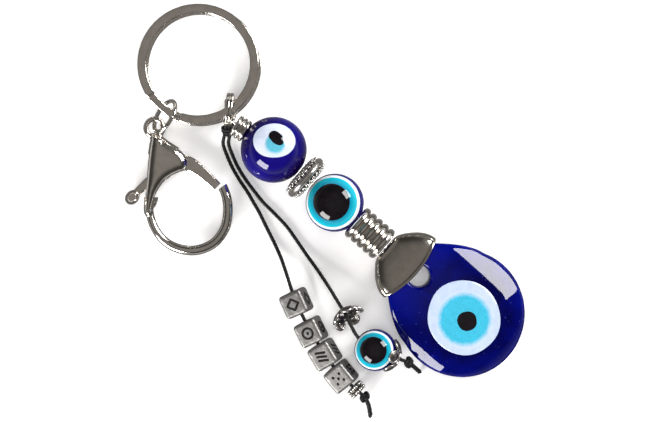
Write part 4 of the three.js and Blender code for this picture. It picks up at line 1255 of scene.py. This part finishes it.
def flower(name, place):
    """A cap of five round petals, each a cup with a raised rim, round a ring of granules."""
    plate = lathe([(1.5, -0.1), (1.9, -0.05), (3.0, 0.75), (3.1, 1.0), (2.9, 1.15), (1.9, 0.4),
                   (1.5, 0.35)], 60)
    parts = [(*plate, 1), moved(torus(1.85, 0.5, 40, 10), shift=(0, 0, -0.05))]
    bowl = lathe([(0.01, -0.42), (0.9, -0.3), (1.45, 0.1), (1.75, 0.3), (1.6, 0.38), (1.25, 0.2),
                  (0.8, -0.05), (0.01, -0.15)], 32)
    rim = moved(torus(1.5, 0.62, 32, 12), shift=(0, 0, 0.2))
    dot = grain((0, 0, -0.05), 0.5, 0.8, 14)
    for j in range(5):
        for piece, k in ((bowl, 1), (rim, 0), (dot, 0)):
            parts.append((*turned(moved(piece, rotation(-46, "Y"), (3.35, 0, 1.2)), 72 * j), k))
        parts.append(turned(grain((2.35, 0, 0.75), 0.42), 72 * j + 36))
    return make(name, parts, [bright_silver, dark_silver], place, sharp=60)


upper_place = frame_along(vec(*UPPER_FLOWER_AT) - 0.8 * heading(UPPER_FLOWER_BEARING),
                          heading(UPPER_FLOWER_BEARING, 30))
upper_flower = flower("flower_cap_upper_petals", upper_place)
lower_place = frame_along(lower_flower, heading(LOWER_FLOWER_BEARING + 180), 20)
lower_flower_piece = flower("flower_cap_lower_petals", lower_place)

# ---------------------------------------------------------------- what stands for, and rides on, what

pairs = [
    (ring, "split_ring", "ring", "polished_nickel"),
    (link, "clasp_link", "clasp_link", "polished_nickel"),
    (clasp, "clasp_body", "clasp", "polished_nickel"),
    (lever, "clasp_lever", "lever", "polished_nickel"),
    (rivet_piece, "clasp_rivet", "clasp", "dark_gunmetal"),
    (connector_piece, "connector_ring", "connector", "polished_nickel"),
    (hitch_piece, "cord_hitch", "connector", "waxed_cord"),
    (wrap, None, "connector", "polished_nickel"),
    (wire, "strand_wire", "strand", "polished_nickel"),
    (top_bead, "top_bead", "ribbed_bead", "polished_nickel"),
    (rondelle_piece, "rondelle", "rondelle", "antique_silver"),
    (coil, "coil_bead", "coil_bead", "polished_nickel"),
    (cap_piece, "pendant_cap", "pendant", "dark_gunmetal"),
    (pin_piece, "cap_pin", "pendant", "dark_gunmetal"),
    (pendant_lump, "pendant_glass", "pendant", "cobalt_glass"),
    (pendant_white, "pendant_white", "pendant", "white_enamel"),
    (pendant_sky_piece, "pendant_blue", "pendant", "sky_glass"),
    (pendant_pupil, "pendant_pupil", "pendant", "pupil_black"),
    (bubble_piece, None, "pendant", "cobalt_glass"),
    (spacer_piece, "beaded_spacer", "cords", "antique_silver"),
    (upper_flower, "flower_cap_upper", "upper_flower", "antique_silver"),
    (lower_flower_piece, "flower_cap_lower", "cords", "antique_silver"),
    (knot_left, "knot_left", "cords", "waxed_cord"),
    (knot_right, "knot_right", "cords", "waxed_cord"),
]
for k, cube in enumerate(cubes):
    pairs.append((cube, f"cube_bead_{k + 1}", "cords" if k else "top_cube", "antique_silver"))
for pieces, body, ball_slot, blue_slot in (
    (glass_pieces, "glass_bead", "cobalt_glass", "sky_glass"),
    (resin_pieces, "resin_bead", "cobalt_resin", "cyan_resin"),
    (drop_pieces, "drop_bead", "cobalt_resin", "cyan_resin"),
):
    slots = (ball_slot, "white_enamel", blue_slot, "pupil_black")
    pairs += [(piece, None, body, slot) for piece, slot in zip(pieces, slots)]
for obj, path, node in cord_data:
    pairs.append((obj, node, "cords", "waxed_cord"))
for obj, node, body, slot in pairs:
    if node:
        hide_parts(node)
    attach(obj, body)

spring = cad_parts["clasp_spring"]
spring.data.materials.clear()
spring.data.materials.append(gunmetal)

# ---------------------------------------------------------------- floor and light


def floor():
    """A pale table top, a hair below the frame's floor and out of sight in reflections."""
    half, below = 3, 0.0001
    s = Shader("pale_floor", Roughness=0.7)
    s.set("Emission Color", (1.0, 1.0, 1.0))
    s.set("Emission Strength", 0.22)
    s.set("Base Color", s.ramp(s.noise(40, 2), [(0.3, (0.90, 0.90, 0.905)), (0.7, (0.93, 0.93, 0.93))]))
    data = bpy.data.meshes.new("floor")
    corners = [(-half, -half), (half, -half), (half, half), (-half, half)]
    data.from_pydata([(x, y, -below) for x, y in corners], [], [(0, 1, 2, 3)])
    data.materials.append(s.material)
    obj = put("floor", data)
    obj.visible_glossy = False


floor()


def softbox(name, bearing, elevation, distance, size, power, glossy=True):
    """A rectangular light that faces the object; sizes and distance in metres."""
    data = bpy.data.lights.new(name, "AREA")
    data.shape = "RECTANGLE"
    data.size, data.size_y = size
    data.energy = power
    data.color = (1.0, 0.985, 0.965)
    obj = put(name, data)
    way = Vector(heading(bearing, elevation).tolist())
    obj.location = way * distance
    obj.rotation_euler = way.to_track_quat("Z", "Y").to_euler()
    obj.visible_glossy = glossy


softbox("softbox_right", 36, 31, 0.7, (0.36, 0.30), 6.5)
softbox("softbox_left", -127, 22, 0.7, (0.42, 0.26), 6.5)
softbox("overhead_fill", 90, 89, 1.3, (0.9, 0.9), 7.0, glossy=False)

world = bpy.data.worlds.new("studio")
world.use_nodes = True
scene.world = world
tree = world.node_tree
back = tree.nodes["Background"]
where = tree.nodes.new("ShaderNodeTexCoord")
split = tree.nodes.new("ShaderNodeSeparateXYZ")
scale = tree.nodes.new("ShaderNodeMapRange")
ramp = tree.nodes.new("ShaderNodeValToRGB")
scale.inputs["From Min"].default_value = -1
tree.links.new(where.outputs["Generated"], split.inputs[0])
tree.links.new(split.outputs["Z"], scale.inputs["Value"])
tree.links.new(scale.outputs[0], ramp.inputs["Fac"])
tree.links.new(ramp.outputs["Color"], back.inputs["Color"])
# The studio round the object, from straight below to straight above.
STUDIO = [
    (0.0, (0.30, 0.29, 0.28)), (0.42, (0.06, 0.058, 0.055)), (0.5, (0.85, 0.84, 0.82)),
    (0.56, (0.40, 0.39, 0.38)), (0.68, (0.035, 0.033, 0.030)), (0.86, (0.06, 0.056, 0.052)),
    (0.95, (0.19, 0.178, 0.165)), (1.0, (0.22, 0.205, 0.19)),
]
while len(ramp.color_ramp.elements) < len(STUDIO):
    ramp.color_ramp.elements.new(0.5)
for element, (at, colour) in zip(ramp.color_ramp.elements, STUDIO):
    element.position = at
    element.color = (*colour, 1)

scene.view_settings.view_transform = "Standard"
